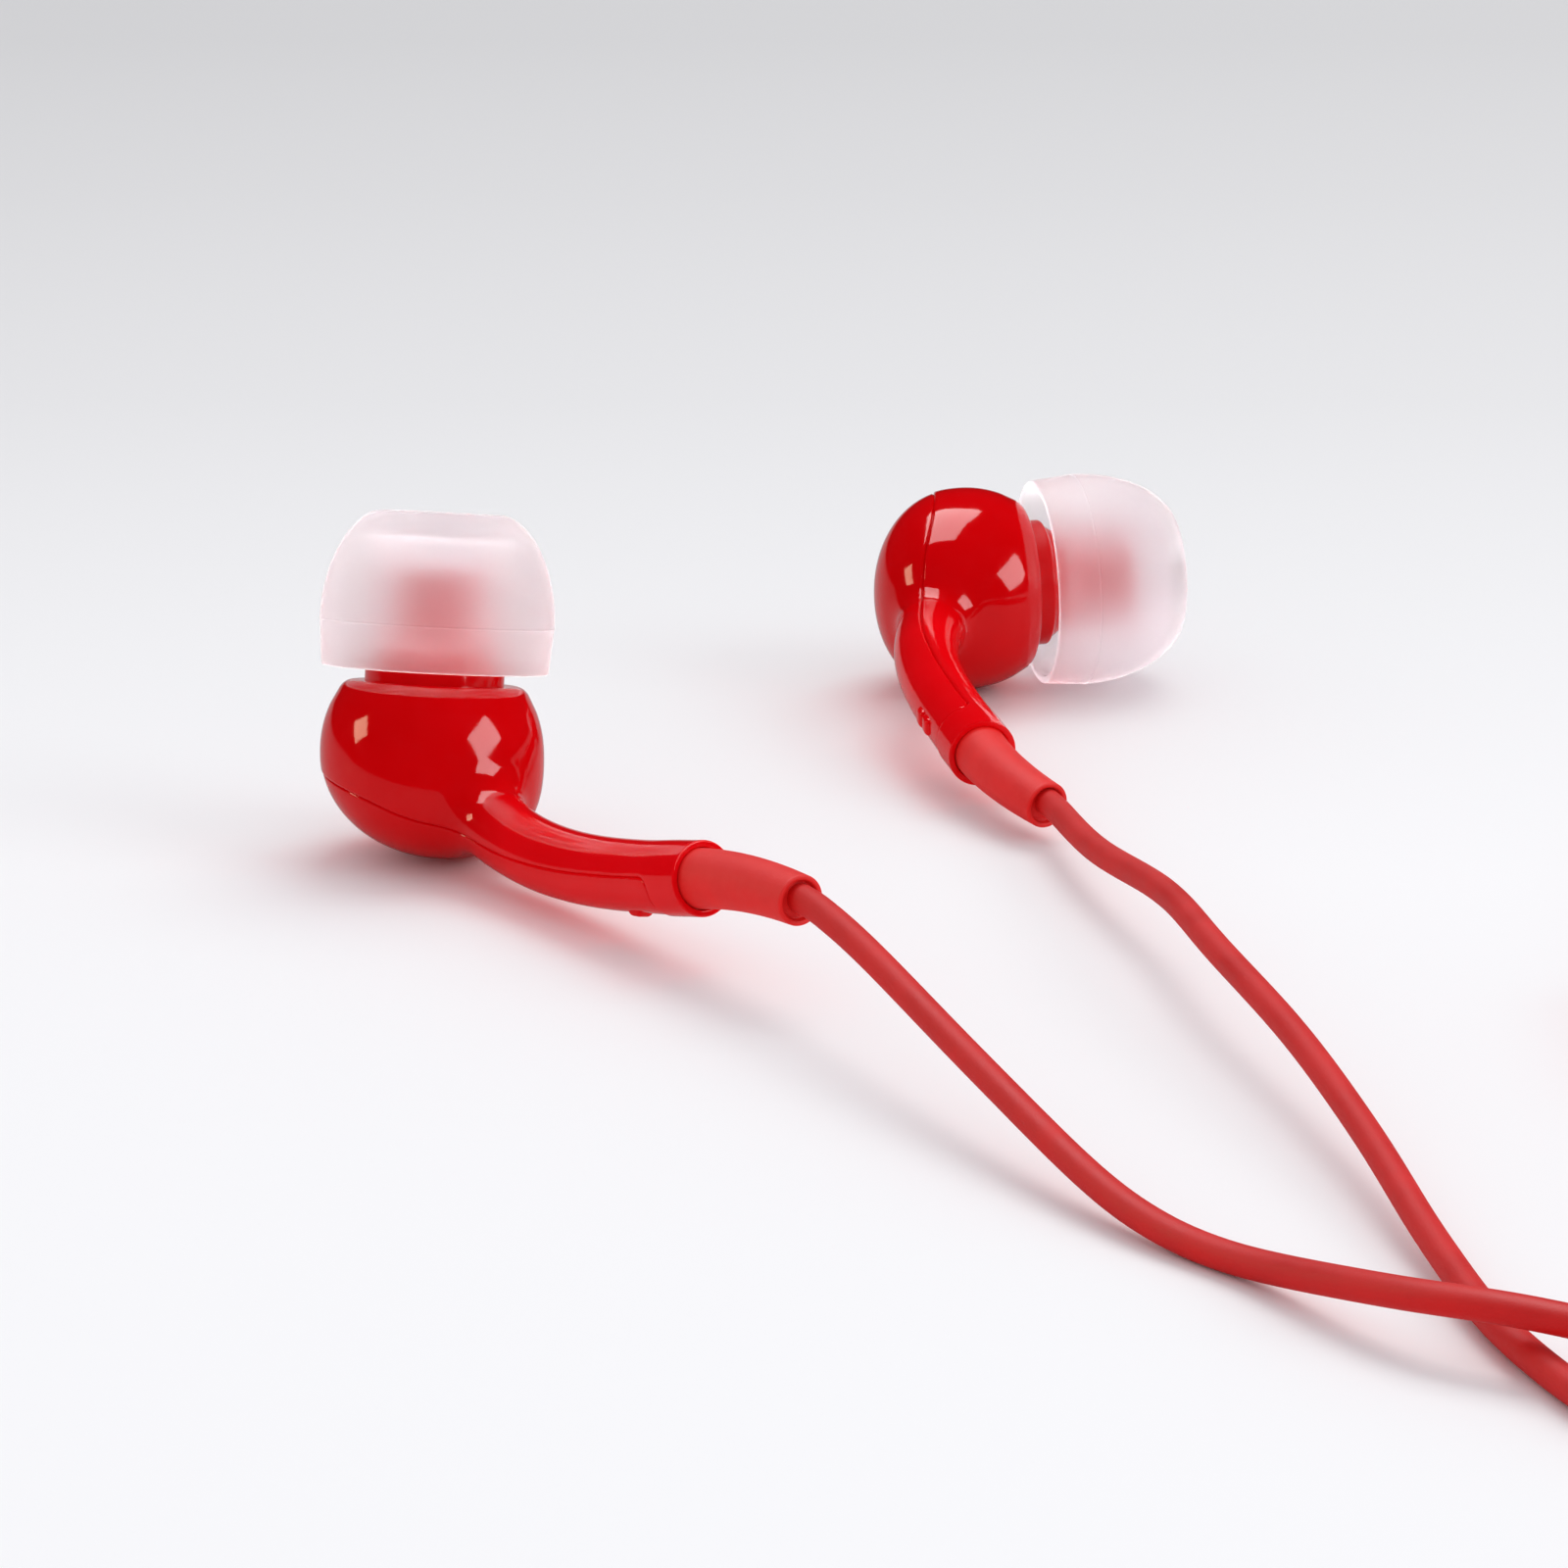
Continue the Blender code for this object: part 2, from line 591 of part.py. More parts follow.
def branch_points(run, mouth_points, radius):
    """A branch from its flex point to the coil, once round it and into the splitter."""
    lift = SLIDER_HEIGHT / 2
    low = BRANCH_RADIUS + 0.03
    entry = SPLITTER_SIZE[2] / 2
    points = smooth_path(mouth_points + [Vector(point) for point in run] + [Vector((COIL_X, COIL_LOW_Y
                         - radius, low))], 3)
    for x, y in bend_points(-1.0, 0.0, radius, radius)[1:]:
        rise = max(0.0, (y + 90.0) / (COIL_LOW_Y + 90.0))
        points.append(Vector((x, y, low + (lift - low) * rise)))
    for index, (x, y) in enumerate(bend_points(0.0, 2.0, radius, radius)):
        share = min(1.0, index / 3)
        points.append(Vector((x, y, lift + (low - lift) * share)))
    side_x = COIL_X - radius
    points.append(Vector((side_x, SPLITTER_Y + 14.0, (low + entry) / 2)))
    points.append(Vector((side_x, SPLITTER_Y + 10.0, entry)))
    points.append(Vector((side_x, SPLITTER_Y + 4.0, entry)))
    return points


def main_points():
    """The main cable from the splitter, round the coil inwards and up to the plug."""
    low = MAIN_RADIUS + 0.03
    entry = SPLITTER_SIZE[2] / 2
    side_x = COIL_X - COIL_RADIUS
    points = [(side_x, SPLITTER_Y - 4.0, entry), (side_x, SPLITTER_Y - 11.0, entry),
              (side_x + 0.5, SPLITTER_Y - 18.0, (entry + low) / 2)]
    start_radius = COIL_RADIUS - 1.2
    radius = FIRST_MAIN_RADIUS
    flat = bend_points(-2.0, 0.0, start_radius, radius)
    flat += bend_points(0.0, 2.0, radius, radius - COIL_PITCH / 2)
    for turn in range(1, MAIN_TURNS):
        flat += bend_points(-2.0, 0.0, radius - COIL_PITCH / 2, radius - COIL_PITCH)
        radius -= COIL_PITCH
        flat += bend_points(0.0, 2.0, radius, radius - COIL_PITCH / 2)
    radius -= COIL_PITCH / 2
    points += [(x, y, low) for x, y in flat]
    turn_radius = radius / 2
    turn_y = COIL_LOW_Y
    for step in range(1, 13):
        angle = math.pi + math.pi * step / 12
        rise = low + (PLUG_HEIGHT - low) * (step / 12) ** 2
        points.append((COIL_X - radius + turn_radius * (1 + math.cos(angle)),
                       turn_y + turn_radius * math.sin(angle), rise))
    points.append((COIL_X, PLUG_SHOULDER_Y - 22.0, PLUG_HEIGHT))
    points.append((COIL_X, PLUG_SHOULDER_Y - 8.0, PLUG_HEIGHT))
    return points


def shifted(points):
    offset = Vector(LAYOUT_OFFSET)
    return [Vector(point) + offset for point in points]


def flex_start(place, sleeve_end):
    """Where a branch leaves its flex point: a short stub in line with the sleeve's end."""
    path = sleeve_path(0.0, sleeve_end, 5)
    local = (Vector(path[-1]) - Vector(path[-2])).normalized()
    direction = place.to_3x3() @ local
    mouth = (place @ (Vector(sleeve_end) * MM)) / MM - Vector(LAYOUT_OFFSET)
    return [mouth + direction * FLEX_CLEARANCE, mouth + direction * (FLEX_CLEARANCE + 1.6)]


def make_branches(left_place, right_place):
    left = branch_points(LEFT_RUN, flex_start(left_place, LEFT_SLEEVE_END),
                         COIL_RADIUS - PAIR_SPACING / 2)
    right = branch_points(RIGHT_RUN, flex_start(right_place, RIGHT_SLEEVE_END),
                          COIL_RADIUS + PAIR_SPACING / 2)
    for name, points in (("left_branch_cable", left), ("right_branch_cable", right)):
        finish_piece(tube(name, shifted(points), BRANCH_RADIUS, CABLE_SIDES_LEVEL), MATTE_RED)


def make_main_cable():
    finish_piece(tube("main_cable", shifted(main_points()), MAIN_RADIUS, CABLE_SIDES_LEVEL), MATTE_RED)


def straight_hole(x, y_start, y_end, z, radius):
    return tube("hole", shifted([(x, y_start, z), (x, y_end, z)]), radius, 3)


def at_layout(centre):
    return tuple(Vector(centre) + Vector(LAYOUT_OFFSET))


def make_slider():
    x = COIL_X + COIL_RADIUS
    height = SLIDER_HEIGHT / 2
    slider = block("cable_slider", SLIDER_SIZE, (0.0, 0.0, 0.0), 0.9)
    slider.data.transform(Matrix.Translation(Vector(at_layout((x, SLIDER_Y, height))) * MM))
    for side in (-1, 1):
        hole = straight_hole(x + side * PAIR_SPACING / 2, SLIDER_Y - 6.0, SLIDER_Y + 6.0, height,
                             BRANCH_RADIUS + HOLE_CLEARANCE)
        slider = carve(slider, hole, "DIFFERENCE")
    finish_piece(slider, GLOSS_RED)


def splitter_body():
    x = COIL_X - COIL_RADIUS
    height = SPLITTER_SIZE[2] / 2
    body = block("splitter_blank", SPLITTER_SIZE, at_layout((x, SPLITTER_Y, height)), 1.3)
    for side in (-1, 1):
        hole = straight_hole(x + side * PAIR_SPACING / 2, SPLITTER_Y + 2.5, SPLITTER_Y + 12.0, height,
                             BRANCH_RADIUS + HOLE_CLEARANCE)
        body = carve(body, hole, "DIFFERENCE")
    return carve(body, straight_hole(x, SPLITTER_Y - 12.0, SPLITTER_Y + 3.5, height,
                                     MAIN_RADIUS + HOLE_CLEARANCE), "DIFFERENCE")


def make_splitter():
    body = splitter_body()
    x = COIL_X - COIL_RADIUS
    height = SPLITTER_SIZE[2] / 2
    for name, side in (("splitter_top", 1), ("splitter_bottom", -1)):
        centre = at_layout((x, SPLITTER_Y, height + side * (5.0 + SEAM_GAP / 2)))
        half = block("half_region", (12.0, 30.0, 10.0), centre)
        finish_piece(carve(copy_of(body, name), half, "INTERSECT"), GLOSS_RED)
    bpy.data.objects.remove(body, do_unlink=True)


# ---- plug -------------------------------------------------------------------
def make_plug():
    """A straight three-contact plug that points along +Y from its shoulder at z = 0."""
    plug = add_object("plug", None)
    plug.matrix_world = (Matrix.Translation(Vector(at_layout((COIL_X, PLUG_SHOULDER_Y, PLUG_HEIGHT))) * MM)
                         @ Matrix.Rotation(math.radians(-90.0), 4, "X"))
    boot = turned("plug_boot",
                  [(1.9, 0.0), (2.75, 0.0), (2.85, -0.3), (2.85, -11.5), (2.4, -12.6), (1.9, -13.0),
                   (1.75, -20.0), (MAIN_RADIUS + HOLE_CLEARANCE, -20.0),
                   (MAIN_RADIUS + HOLE_CLEARANCE, -6.0), (1.2, -6.0),
                   (1.2, -2.5), (1.9, -2.5)], PLUG_STEPS, ring=True)
    finish_piece(boot, GLOSS_RED, plug)
    contacts = (
        ("plug_ground_contact", ring_profile(1.25, 1.75, 6.2, -2.2), NICKEL),
        ("plug_rear_insulator", ring_profile(1.25, 1.72, 6.8, 6.3), BLACK_PLASTIC),
        ("plug_ring_contact", ring_profile(1.25, 1.75, 9.2, 6.9), NICKEL),
        ("plug_front_insulator", ring_profile(1.25, 1.72, 9.8, 9.3), BLACK_PLASTIC),
    )
    for name, profile, finish in contacts:
        finish_piece(turned(name, profile, PLUG_STEPS, ring=True), finish, plug)
    core = turned("plug_core", ring_profile(0.75, 1.15, 9.75, -4.0), PLUG_STEPS, ring=True)
    finish_piece(core, GREY_PLASTIC, plug)
    tip = turned("plug_tip_contact",
                 [(0.0, PLUG_PIN_LENGTH), (0.6, PLUG_PIN_LENGTH - 0.25), (1.5, PLUG_PIN_LENGTH - 1.8),
                  (1.72, PLUG_PIN_LENGTH - 2.3), (1.25, PLUG_PIN_LENGTH - 3.3), (1.72, 9.9),
                  (0.65, 9.9), (0.65, -4.5), (0.0, -4.5)], PLUG_STEPS)
    finish_piece(tip, NICKEL, plug)


def make_earphones():
    blank = shell_blank()
    left_place = earpiece_matrix(LEFT_FRONT_FACE, LEFT_TIP_AXIS, LEFT_ARM_AXIS)
    right_place = earpiece_matrix(RIGHT_FRONT_FACE, RIGHT_TIP_AXIS, RIGHT_ARM_AXIS)
    make_earpiece("left", left_place, LEFT_SLEEVE_END, blank, 1)
    make_earpiece("right", right_place, RIGHT_SLEEVE_END, blank, 2)
    bpy.data.objects.remove(blank, do_unlink=True)
    make_branches(left_place, right_place)
    make_slider()
    make_splitter()
    make_main_cable()
    make_plug()


make_earphones()
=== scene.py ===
"""Looks for the wired earphones: smooth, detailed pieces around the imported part.

Shapes are made in millimetres and placed in metres.  Each earpiece is made in its own frame:
origin in the middle of the housing's front face, +Z along the ear tip, +X towards the arm.
"""

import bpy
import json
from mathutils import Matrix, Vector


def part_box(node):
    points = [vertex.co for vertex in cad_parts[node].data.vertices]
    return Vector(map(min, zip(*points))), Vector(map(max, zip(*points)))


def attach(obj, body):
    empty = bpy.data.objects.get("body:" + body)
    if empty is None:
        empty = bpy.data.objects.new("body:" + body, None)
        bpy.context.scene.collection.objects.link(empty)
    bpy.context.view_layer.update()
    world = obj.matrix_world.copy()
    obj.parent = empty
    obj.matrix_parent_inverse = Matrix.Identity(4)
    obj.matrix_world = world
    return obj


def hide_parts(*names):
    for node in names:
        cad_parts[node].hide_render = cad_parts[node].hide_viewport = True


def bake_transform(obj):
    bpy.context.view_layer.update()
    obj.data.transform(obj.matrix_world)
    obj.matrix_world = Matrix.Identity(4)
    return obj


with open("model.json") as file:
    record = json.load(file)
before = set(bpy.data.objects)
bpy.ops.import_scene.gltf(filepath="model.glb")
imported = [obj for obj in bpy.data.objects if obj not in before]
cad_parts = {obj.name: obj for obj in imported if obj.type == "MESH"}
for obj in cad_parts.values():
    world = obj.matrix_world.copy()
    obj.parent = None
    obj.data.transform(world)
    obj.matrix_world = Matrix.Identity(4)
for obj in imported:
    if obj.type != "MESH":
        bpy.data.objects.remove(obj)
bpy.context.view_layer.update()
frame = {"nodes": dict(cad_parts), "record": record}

import json
import math
from contextlib import contextmanager

import bmesh
import bpy
import numpy as np
from mathutils import Matrix, Vector

MM = 0.001
JOINTS = {joint["name"]: joint for joint in frame["record"]["behaviour"]["joints"]}
SIDES = ("left", "right")

# ---- earpiece, in its own frame
FRONT_EDGE_RADIUS = 4.77
FRONT_EDGE_DEPTH = 1.3
FRONT_EDGE_ROUNDING = 0.58
SIDE_SWELL = 2.2  # power with which the sides swell to their widest
HOUSING_RADIUS = 5.98
WIDEST_Z = -3.9
HOUSING_BACK_Z = -9.35
DOME_POWERS = (0.95, 0.88)  # below 1 squares the dome a little
# Collar, cone, nozzle and lip: radius, z and, where it isn't the common one, the rounding.
NOZZLE_OUTLINE = ((0.0, -1.2), (3.72, -1.2), (3.72, 1.0, 0.14), (3.45, 1.1, 0.2), (2.5, 2.5, 0.5),
                  (2.2, 3.3, 0.4), (2.2, 5.0), (2.4, 5.25, 0.12), (2.4, 6.15, 0.2), (0.0, 6.15))
SCREEN_SEAT_RADIUS = 1.9
SCREEN_SEAT_Z = 5.75
SCREEN_RIM = 0.16  # width and height of the ring that holds the mesh
MESH_PITCH = 0.28
MESH_WIRE_RADIUS = 0.055
# The hollow's radii and where each begins: screen's seat, nozzle, front chamber, driver.
CAVITY_STEPS = ((SCREEN_SEAT_RADIUS, 6.65), (1.5, SCREEN_SEAT_Z), (3.7, -0.9), (4.65, -1.7))
CAVITY_DOME_Z = (-4.9, -8.35)
LEAN = 0.3  # how steeply the back is carried towards the arm
LEAN_START_Z = -5.0
LEAN_EASE = 1.6  # the lean comes in over about this much depth
ARM_BEZIER = np.array(((2.5, 0.0, -5.0), (8.5, 0.0, -9.6), (16.3, 0.0, -8.9), (24.7, 0.0, -8.2)))
ARM_RADIUS = 1.88
ARM_END_RADIUS = 1.93
ARM_END_SWELL = (0.8, 0.93)  # shares of the arm over which its radius grows to its end's
ARM_ROOT_FLARE = 0.35
ARM_ROOT_TAPER = 2.8  # the flare is gone after one part in this many of the arm
ARM_BORE_RADIUS = 1.15
ARM_BORE_START = 1.6
MOUTH_RADIUS = 1.57
MOUTH_DEPTH = 0.7
MOUTH_TRIM = 0.16  # what the mouth's rounded lip takes off the arm's outside
ROOT_FILLET = 1.1
REAR_HALF_END_X = 22.4
SEAM_OUTLINE = ((-9.0, -4.1), (-3.7, -4.9), (1.5, -6.0), (4.7, -7.25),
                (9.3, -8.35), (14.0, -8.7), (18.5, -8.6), (REAR_HALF_END_X, -8.35))
SEAM_CORNER = 0.9  # rounding where the seam turns across the arm
SEAM_GAP = 0.014
SEAM_FINE_REACH = 0.45  # the mesh is finer this near to the seam
REAR_INSET = 0.06  # the rear shell sits this far inside the front shell's skin
EDGE_WIDTH = 0.13  # the skin rolls in by EDGE_DROP over this width along the seam
EDGE_DROP = 0.12
VOXEL = 0.15  # of the mesh that the smooth skin starts from
CUTTER_REACH = (40.0, 9.0, -14.0, 12.0)  # end X, half of Y, low and high Z, clear of the shells
MARK_X = 19.6
MARK_SPACING = 1.2
MARK_SIZE = (1.1, 1.1, 0.9)
MARK_ROUNDING = 0.34
MARK_SINK = 0.31
ARM_PAINTED_LIGHT_X = (6.0, 10.0)  # over which the arm's painted light, a lighter red, fades in along X
SLEEVE_ROOT_RADIUS = 1.54
SLEEVE_ROOT_DEPTH = 0.4  # how far it reaches into the arm's mouth
SLEEVE_END_RADIUS = 1.28
SLEEVE_BEND = 0.45  # share of its length at which the sleeve bends
SLEEVE_BORE_RADIUS = 0.98
SLEEVE_GRIP_RADIUS = 0.5  # behind the recess at its end the sleeve holds the cable
SLEEVE_RECESS = 0.32
SLEEVE_SIDEWAYS = {"left": -0.35, "right": -0.1}

# ---- ear tip
TIP_RIM_RADIUS = 6.04
TIP_RIM_Z = 0.7
TIP_RADIUS = 6.25
TIP_WIDEST_Z = 3.2
TIP_TOP_RADIUS = 3.25
TIP_TOP_Z = 9.05
TIP_SHOULDER = 1.15  # power that rounds the shoulders
TIP_SKIN = 0.45
# A faint line round the widest place, as steps out of and up from it.
TIP_MOULD_LINE = ((0.025, -0.03), (0.02, -0.09), (-0.012, -0.12), (-0.03, -0.3))
TIP_MOUTH_RADIUS = 1.9
# The tube on the nozzle: down its outside, round its end and up its bore into the mouth.
TIP_TUBE = ((4.2, 7.75), (3.3, 7.75, 0.5), (3.3, 2.0, 0.1), (3.1, 2.0, 0.08), (2.62, 2.8), (2.52, 3.4),
            (2.52, 6.4, 0.15), (TIP_MOUTH_RADIUS, 6.7, 0.15), (TIP_MOUTH_RADIUS, 7.6))

# ---- cable layout, before LAYOUT_OFFSET is added
BRANCH_RADIUS = 0.72
BRANCH_STEP = 0.45  # between the points of its line
MAIN_RADIUS = 1.0
MAIN_STEP = 0.7
ABOVE_TABLE = 0.03  # clearance of what lies on the table
JACKET_OVAL = 0.025
JACKET_GROOVE = 0.075  # as a share of the cable's radius
JACKET_GROOVE_ANGLE = 0.24
CABLE_START = 0.70  # share of the arm at which the branch cable begins
CABLE_LEAN = (0.15, 0.0, 0.12)  # how far the cable lies off the middle of the sleeve's hole
FLEX_CLEARANCE = 0.3
FLEX_LENGTH = 16.0  # of cable past the sleeve's mouth, made as a piece apart from the rest
CORNER_EASE = 4.5  # length over which a branch's corners are eased
LEFT_RUN = ((3.7, -45.9, 5.3), (8.9, -57.6, 3.3), (13.8, -67.8, 1.4), (16.9, -72.6, 0.8),
            (20.0, -76.0, 0.85), (25.7, -83.6, 2.5), (30.2, -86.3, 2.8), (38.0, -90.0, 2.2),
            (50.0, -96.0, 1.0), (61.0, -99.8, 0.78))
RIGHT_RUN = ((16.3, -20.9, 2.5), (19.2, -31.2, 3.4), (21.0, -41.0, 3.6), (23.8, -52.6, 3.1),
             (26.1, -63.7, 2.1), (27.9, -74.5, 1.1), (30.0, -84.8, 0.78), (34.5, -94.5, 0.78),
             (44.0, -101.0, 0.78), (57.0, -102.9, 0.78))
COIL_X = 73.0
COIL_LOW_Y = -75.0
COIL_HIGH_Y = -25.0
COIL_RADIUS = 26.8
COIL_RISE_Y = -90.0  # from here the pair rises to the slider's height
COIL_SINK_STEPS = 9  # and sinks again over this many steps of the far bend
PAIR_SPACING = 2.4
FIRST_MAIN_RADIUS = 21.6
COIL_PITCH = 3.0
MAIN_TURNS = 4
BEND_STEP = math.radians(5.0)
LAST_BEND_STEPS = 24

# ---- slider, splitter and plug, in the same layout
SLIDER_X = COIL_X + COIL_RADIUS
SPLITTER_X = COIL_X - COIL_RADIUS
SLIDER_SIZE = (5.8, 7.0, 3.0)
SLIDER_Y = -66.0
SLIDER_ROUNDING = 1.15
SPLITTER_SIZE = (6.8, 18.0, 4.2)
SPLITTER_Y = -48.0
SPLITTER_MIDDLE_Z = SPLITTER_SIZE[2] / 2
SPLITTER_ROUNDING = 1.75
SPLITTER_NARROWING = 0.32
SPLITTER_FORK = (2.5, 3.5)  # how far past its middle the pair's and the cable's holes end
SPLITTER_EDGE = 0.05  # roll of the halves' edges, within SPLITTER_EDGE_REACH
SPLITTER_EDGE_REACH = 0.16
HOLE_CLEARANCE = 0.16
SPLITTER_CLEARANCE = 0.14
GROOVE_REACH = 4.0
SLIDER_GROOVE = (0.5, 0.35, 1.1)  # radius, distance of its middle off the face, spacing
SPLITTER_GROOVE = (0.42, 0.3, 0.95)
SPLITTER_GROOVES_Y = -7.2  # the first one's, from the splitter's middle
PLUG_HEIGHT = 2.9
PLUG_SHOULDER_Y = -44.0
PLUG_PIN_LENGTH = 14.0
PIN_RADIUS = 1.75
PIN_CORE_RADIUS = 1.25
INSULATOR_RADIUS = 1.73
RING_Z = (6.2, 9.2)  # fronts of the ground and the ring contact
INSULATOR_SPACE = 0.7  # between two contacts, with a PIN_GAP at each end of the insulator
PIN_GAP = 0.04
GRIP_RADIUS = 2.85
GRIP_GROOVES_Z = [-2.4 - 1.25 * index for index in range(6)]
NECK_RADIUS = 1.86
NECK_GROOVES_Z = [-13.7 - 0.85 * index for index in range(7)]
NECK_TAPER = 0.012  # from each rib to the next
BOOT_END_Z = -20.0

# ---- stage
CAMERA_ELEVATION = 0.2829  # radians above the table
CAMERA_HEIGHT = 84.577
CAMERA_LENS = 124.33
LIGHT_DISTANCE = 0.8  # metres
LIGHT_TARGET = (0.0, -0.01, 0.005)  # metres from the layout's origin
WORLD_LIGHT = 0.76
WORLD_IN_REFLECTIONS = 0.012
FLOOR_REACH = 3.0  # metres to each side
FLOOR_DEPTH = (-60.0, 340.0)  # millimetres of Y the floor's painted shade runs over
# painted shade: the floor's grey falls towards the back, where less light reaches it
FLOOR_PAINTED_SHADE = ((0.0, 0.90), (0.20, 0.885), (0.34, 0.81), (0.50, 0.72), (0.72, 0.65), (0.95, 0.60))


def layout_offset():
    """Where the layout's own origin stands: the slider's middle is known in both."""
    low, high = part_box("cable_slider")
    middle = (low + high) / 2 / MM
    return np.array((middle.x - SLIDER_X, middle.y - SLIDER_Y, 0.0))


LAYOUT_OFFSET = layout_offset()
SHIFT = Matrix.Translation(Vector(LAYOUT_OFFSET) * MM)


# ---- mesh helpers
def add_object(name, data):
    obj = bpy.data.objects.new(name, data)
    bpy.context.scene.collection.objects.link(obj)
    return obj


def add_mesh(name, points, faces):
    mesh = bpy.data.meshes.new(name)
    mesh.from_pydata([tuple(point) for point in points], [], faces)
    return add_object(name, mesh)


@contextmanager
def edited(obj):
    """The object's mesh as a bmesh, written back at the end."""
    shape = bmesh.new()
    shape.from_mesh(obj.data)
    yield shape
    shape.to_mesh(obj.data)
    shape.free()


def weld(obj, distance=1e-4):
    with edited(obj) as shape:
        bmesh.ops.remove_doubles(shape, verts=shape.verts, dist=distance)
        bmesh.ops.dissolve_degenerate(shape, edges=shape.edges, dist=distance)
        bmesh.ops.recalc_face_normals(shape, faces=shape.faces)
    return obj


def vertices(obj):
    flat = np.empty(len(obj.data.vertices) * 3, np.float32)
    obj.data.vertices.foreach_get("co", flat)
    return flat.reshape(-1, 3).astype(float)


def set_vertices(obj, points):
    obj.data.vertices.foreach_set("co", np.asarray(points, np.float32).ravel())
    obj.data.update()


def frozen(obj):
    """Bake an object's modifiers into its mesh."""
    bpy.context.view_layer.update()
    evaluated = obj.evaluated_get(bpy.context.evaluated_depsgraph_get())
    mesh = bpy.data.meshes.new_from_object(evaluated)
    old = obj.data
    obj.modifiers.clear()
    obj.data = mesh
    mesh.name = obj.name
    bpy.data.meshes.remove(old)
    return obj


def carve(obj, tool, operation):
    """Cut an object by a tool, or join them, and remove the tool."""
    boolean = obj.modifiers.new("carve", "BOOLEAN")
    boolean.operation = operation
    boolean.object = tool
    frozen(obj)
    bpy.data.objects.remove(tool, do_unlink=True)
    return obj


def joined(parts):
    with edited(parts[0]) as shape:
        for part in parts[1:]:
            shape.from_mesh(part.data)
            bpy.data.objects.remove(part, do_unlink=True)
    return parts[0]


def copy_of(obj, name):
    return add_object(name, obj.data.copy())


def quadratic(start, bend, end, t):
    """A curve from start to end that heads for bend."""
    return (1 - t) ** 2 * start + 2 * t * (1 - t) * bend + t * t * end


def rounded(profile, radius, steps=4, closed=False):
    """A profile with each corner cut back by up to radius and rounded off."""
    points = [np.array(point[:2], float) for point in profile]
    sizes = [point[2] if len(point) > 2 else radius for point in profile]
    result = []
    count = len(points)
    for index in range(count):
        if not closed and index in (0, count - 1):
            result.append(points[index])
            continue
        before = points[index - 1] - points[index]
        after = points[(index + 1) % count] - points[index]
        length_before = np.linalg.norm(before)
        length_after = np.linalg.norm(after)
        cut = min(sizes[index], 0.45 * length_before, 0.45 * length_after)
        start = points[index] + before / length_before * cut
        end = points[index] + after / length_after * cut
        result += [quadratic(start, points[index], end, step / steps) for step in range(steps + 1)]
    return np.array(result)


class Path:
    """A line through points with frames that don't twist, read by distance along it."""

    def __init__(self, points):
        self.points = np.array([tuple(point) for point in points], float)
        steps = np.linalg.norm(np.diff(self.points, axis=0), axis=1)
        self.distance = np.concatenate(([0.0], np.cumsum(steps)))
        self.length = self.distance[-1]
        tangents = np.gradient(self.points, self.distance, axis=0)
        self.tangents = tangents / np.linalg.norm(tangents, axis=1)[:, None]
        self.normals = self.carried_normals()

    def carried_normals(self):
        normal = np.cross(self.tangents[0], (0.0, 0.0, 1.0))
        if np.linalg.norm(normal) < 0.1:
            normal = np.cross(self.tangents[0], (0.0, 1.0, 0.0))
        normals = []
        for tangent in self.tangents:
            normal = normal - tangent * np.dot(normal, tangent)
            normal = normal / np.linalg.norm(normal)
            normals.append(normal)
        return np.array(normals)

    def at(self, distance, rows):
        """rows, given at the path's points, read at the distances asked for."""
        distance = np.asarray(distance, float)
        inside = np.clip(distance, 0.0, self.length)
        return np.stack([np.interp(inside, self.distance, rows[:, axis]) for axis in range(3)], 1)

    def frames(self, distance):
        """Centres, tangents and two normals; beyond either end the path runs on straight."""
        distance = np.asarray(distance, float)
        tangents = self.at(distance, self.tangents)
        tangents /= np.linalg.norm(tangents, axis=1)[:, None]
        normals = self.at(distance, self.normals)
        normals -= tangents * np.sum(normals * tangents, axis=1)[:, None]
        normals /= np.linalg.norm(normals, axis=1)[:, None]
        beyond = distance - np.clip(distance, 0.0, self.length)
        centres = self.at(distance, self.points) + tangents * beyond[:, None]
        return centres, tangents, normals, np.cross(tangents, normals)


UP = Path(((0.0, 0.0, 0.0), (0.0, 0.0, 1.0)))


def swept(name, path, profile, segments, closed=True, section=None):
    """Turn a profile of (radius, distance along path) about a path, straight or bent.

    section(distances, angles) may scale the radius to give a shape that isn't round.
    """
    profile = np.asarray(profile, float)
    radius, along = profile[:, 0], profile[:, 1]
    centres, _, side, over = path.frames(along)
    angles = np.arange(segments) * math.tau / segments
    reach = np.repeat(radius[:, None], segments, axis=1)
    if section is not None:
        reach = reach * section(along, angles)
    points = (centres[:, None, :]
              + reach[:, :, None] * (np.cos(angles)[None, :, None] * side[:, None, :]
                                     + np.sin(angles)[None, :, None] * over[:, None, :]))
    rows = len(profile)
    pairs = [(row, (row + 1) % rows) for row in range(rows if closed else rows - 1)]
    faces = [(a * segments + i, a * segments + (i + 1) % segments,
              b * segments + (i + 1) % segments, b * segments + i)
             for a, b in pairs for i in range(segments)]
    return weld(add_mesh(name, points.reshape(-1, 3), faces))


def lathe(name, profile, segments, closed=False):
    return swept(name, UP, profile, segments, closed)


def slab(name, outline, half_width):
    """A prism with an (x, z) outline, reaching half_width to either side in Y."""
    count = len(outline)
    points = [(x, y, z) for y in (-half_width, half_width) for x, z in outline]
    faces = [tuple(range(count)), tuple(range(2 * count - 1, count - 1, -1))]
    faces += [(i, i + count, (i + 1) % count + count, (i + 1) % count) for i in range(count)]
    return weld(add_mesh(name, points, faces))


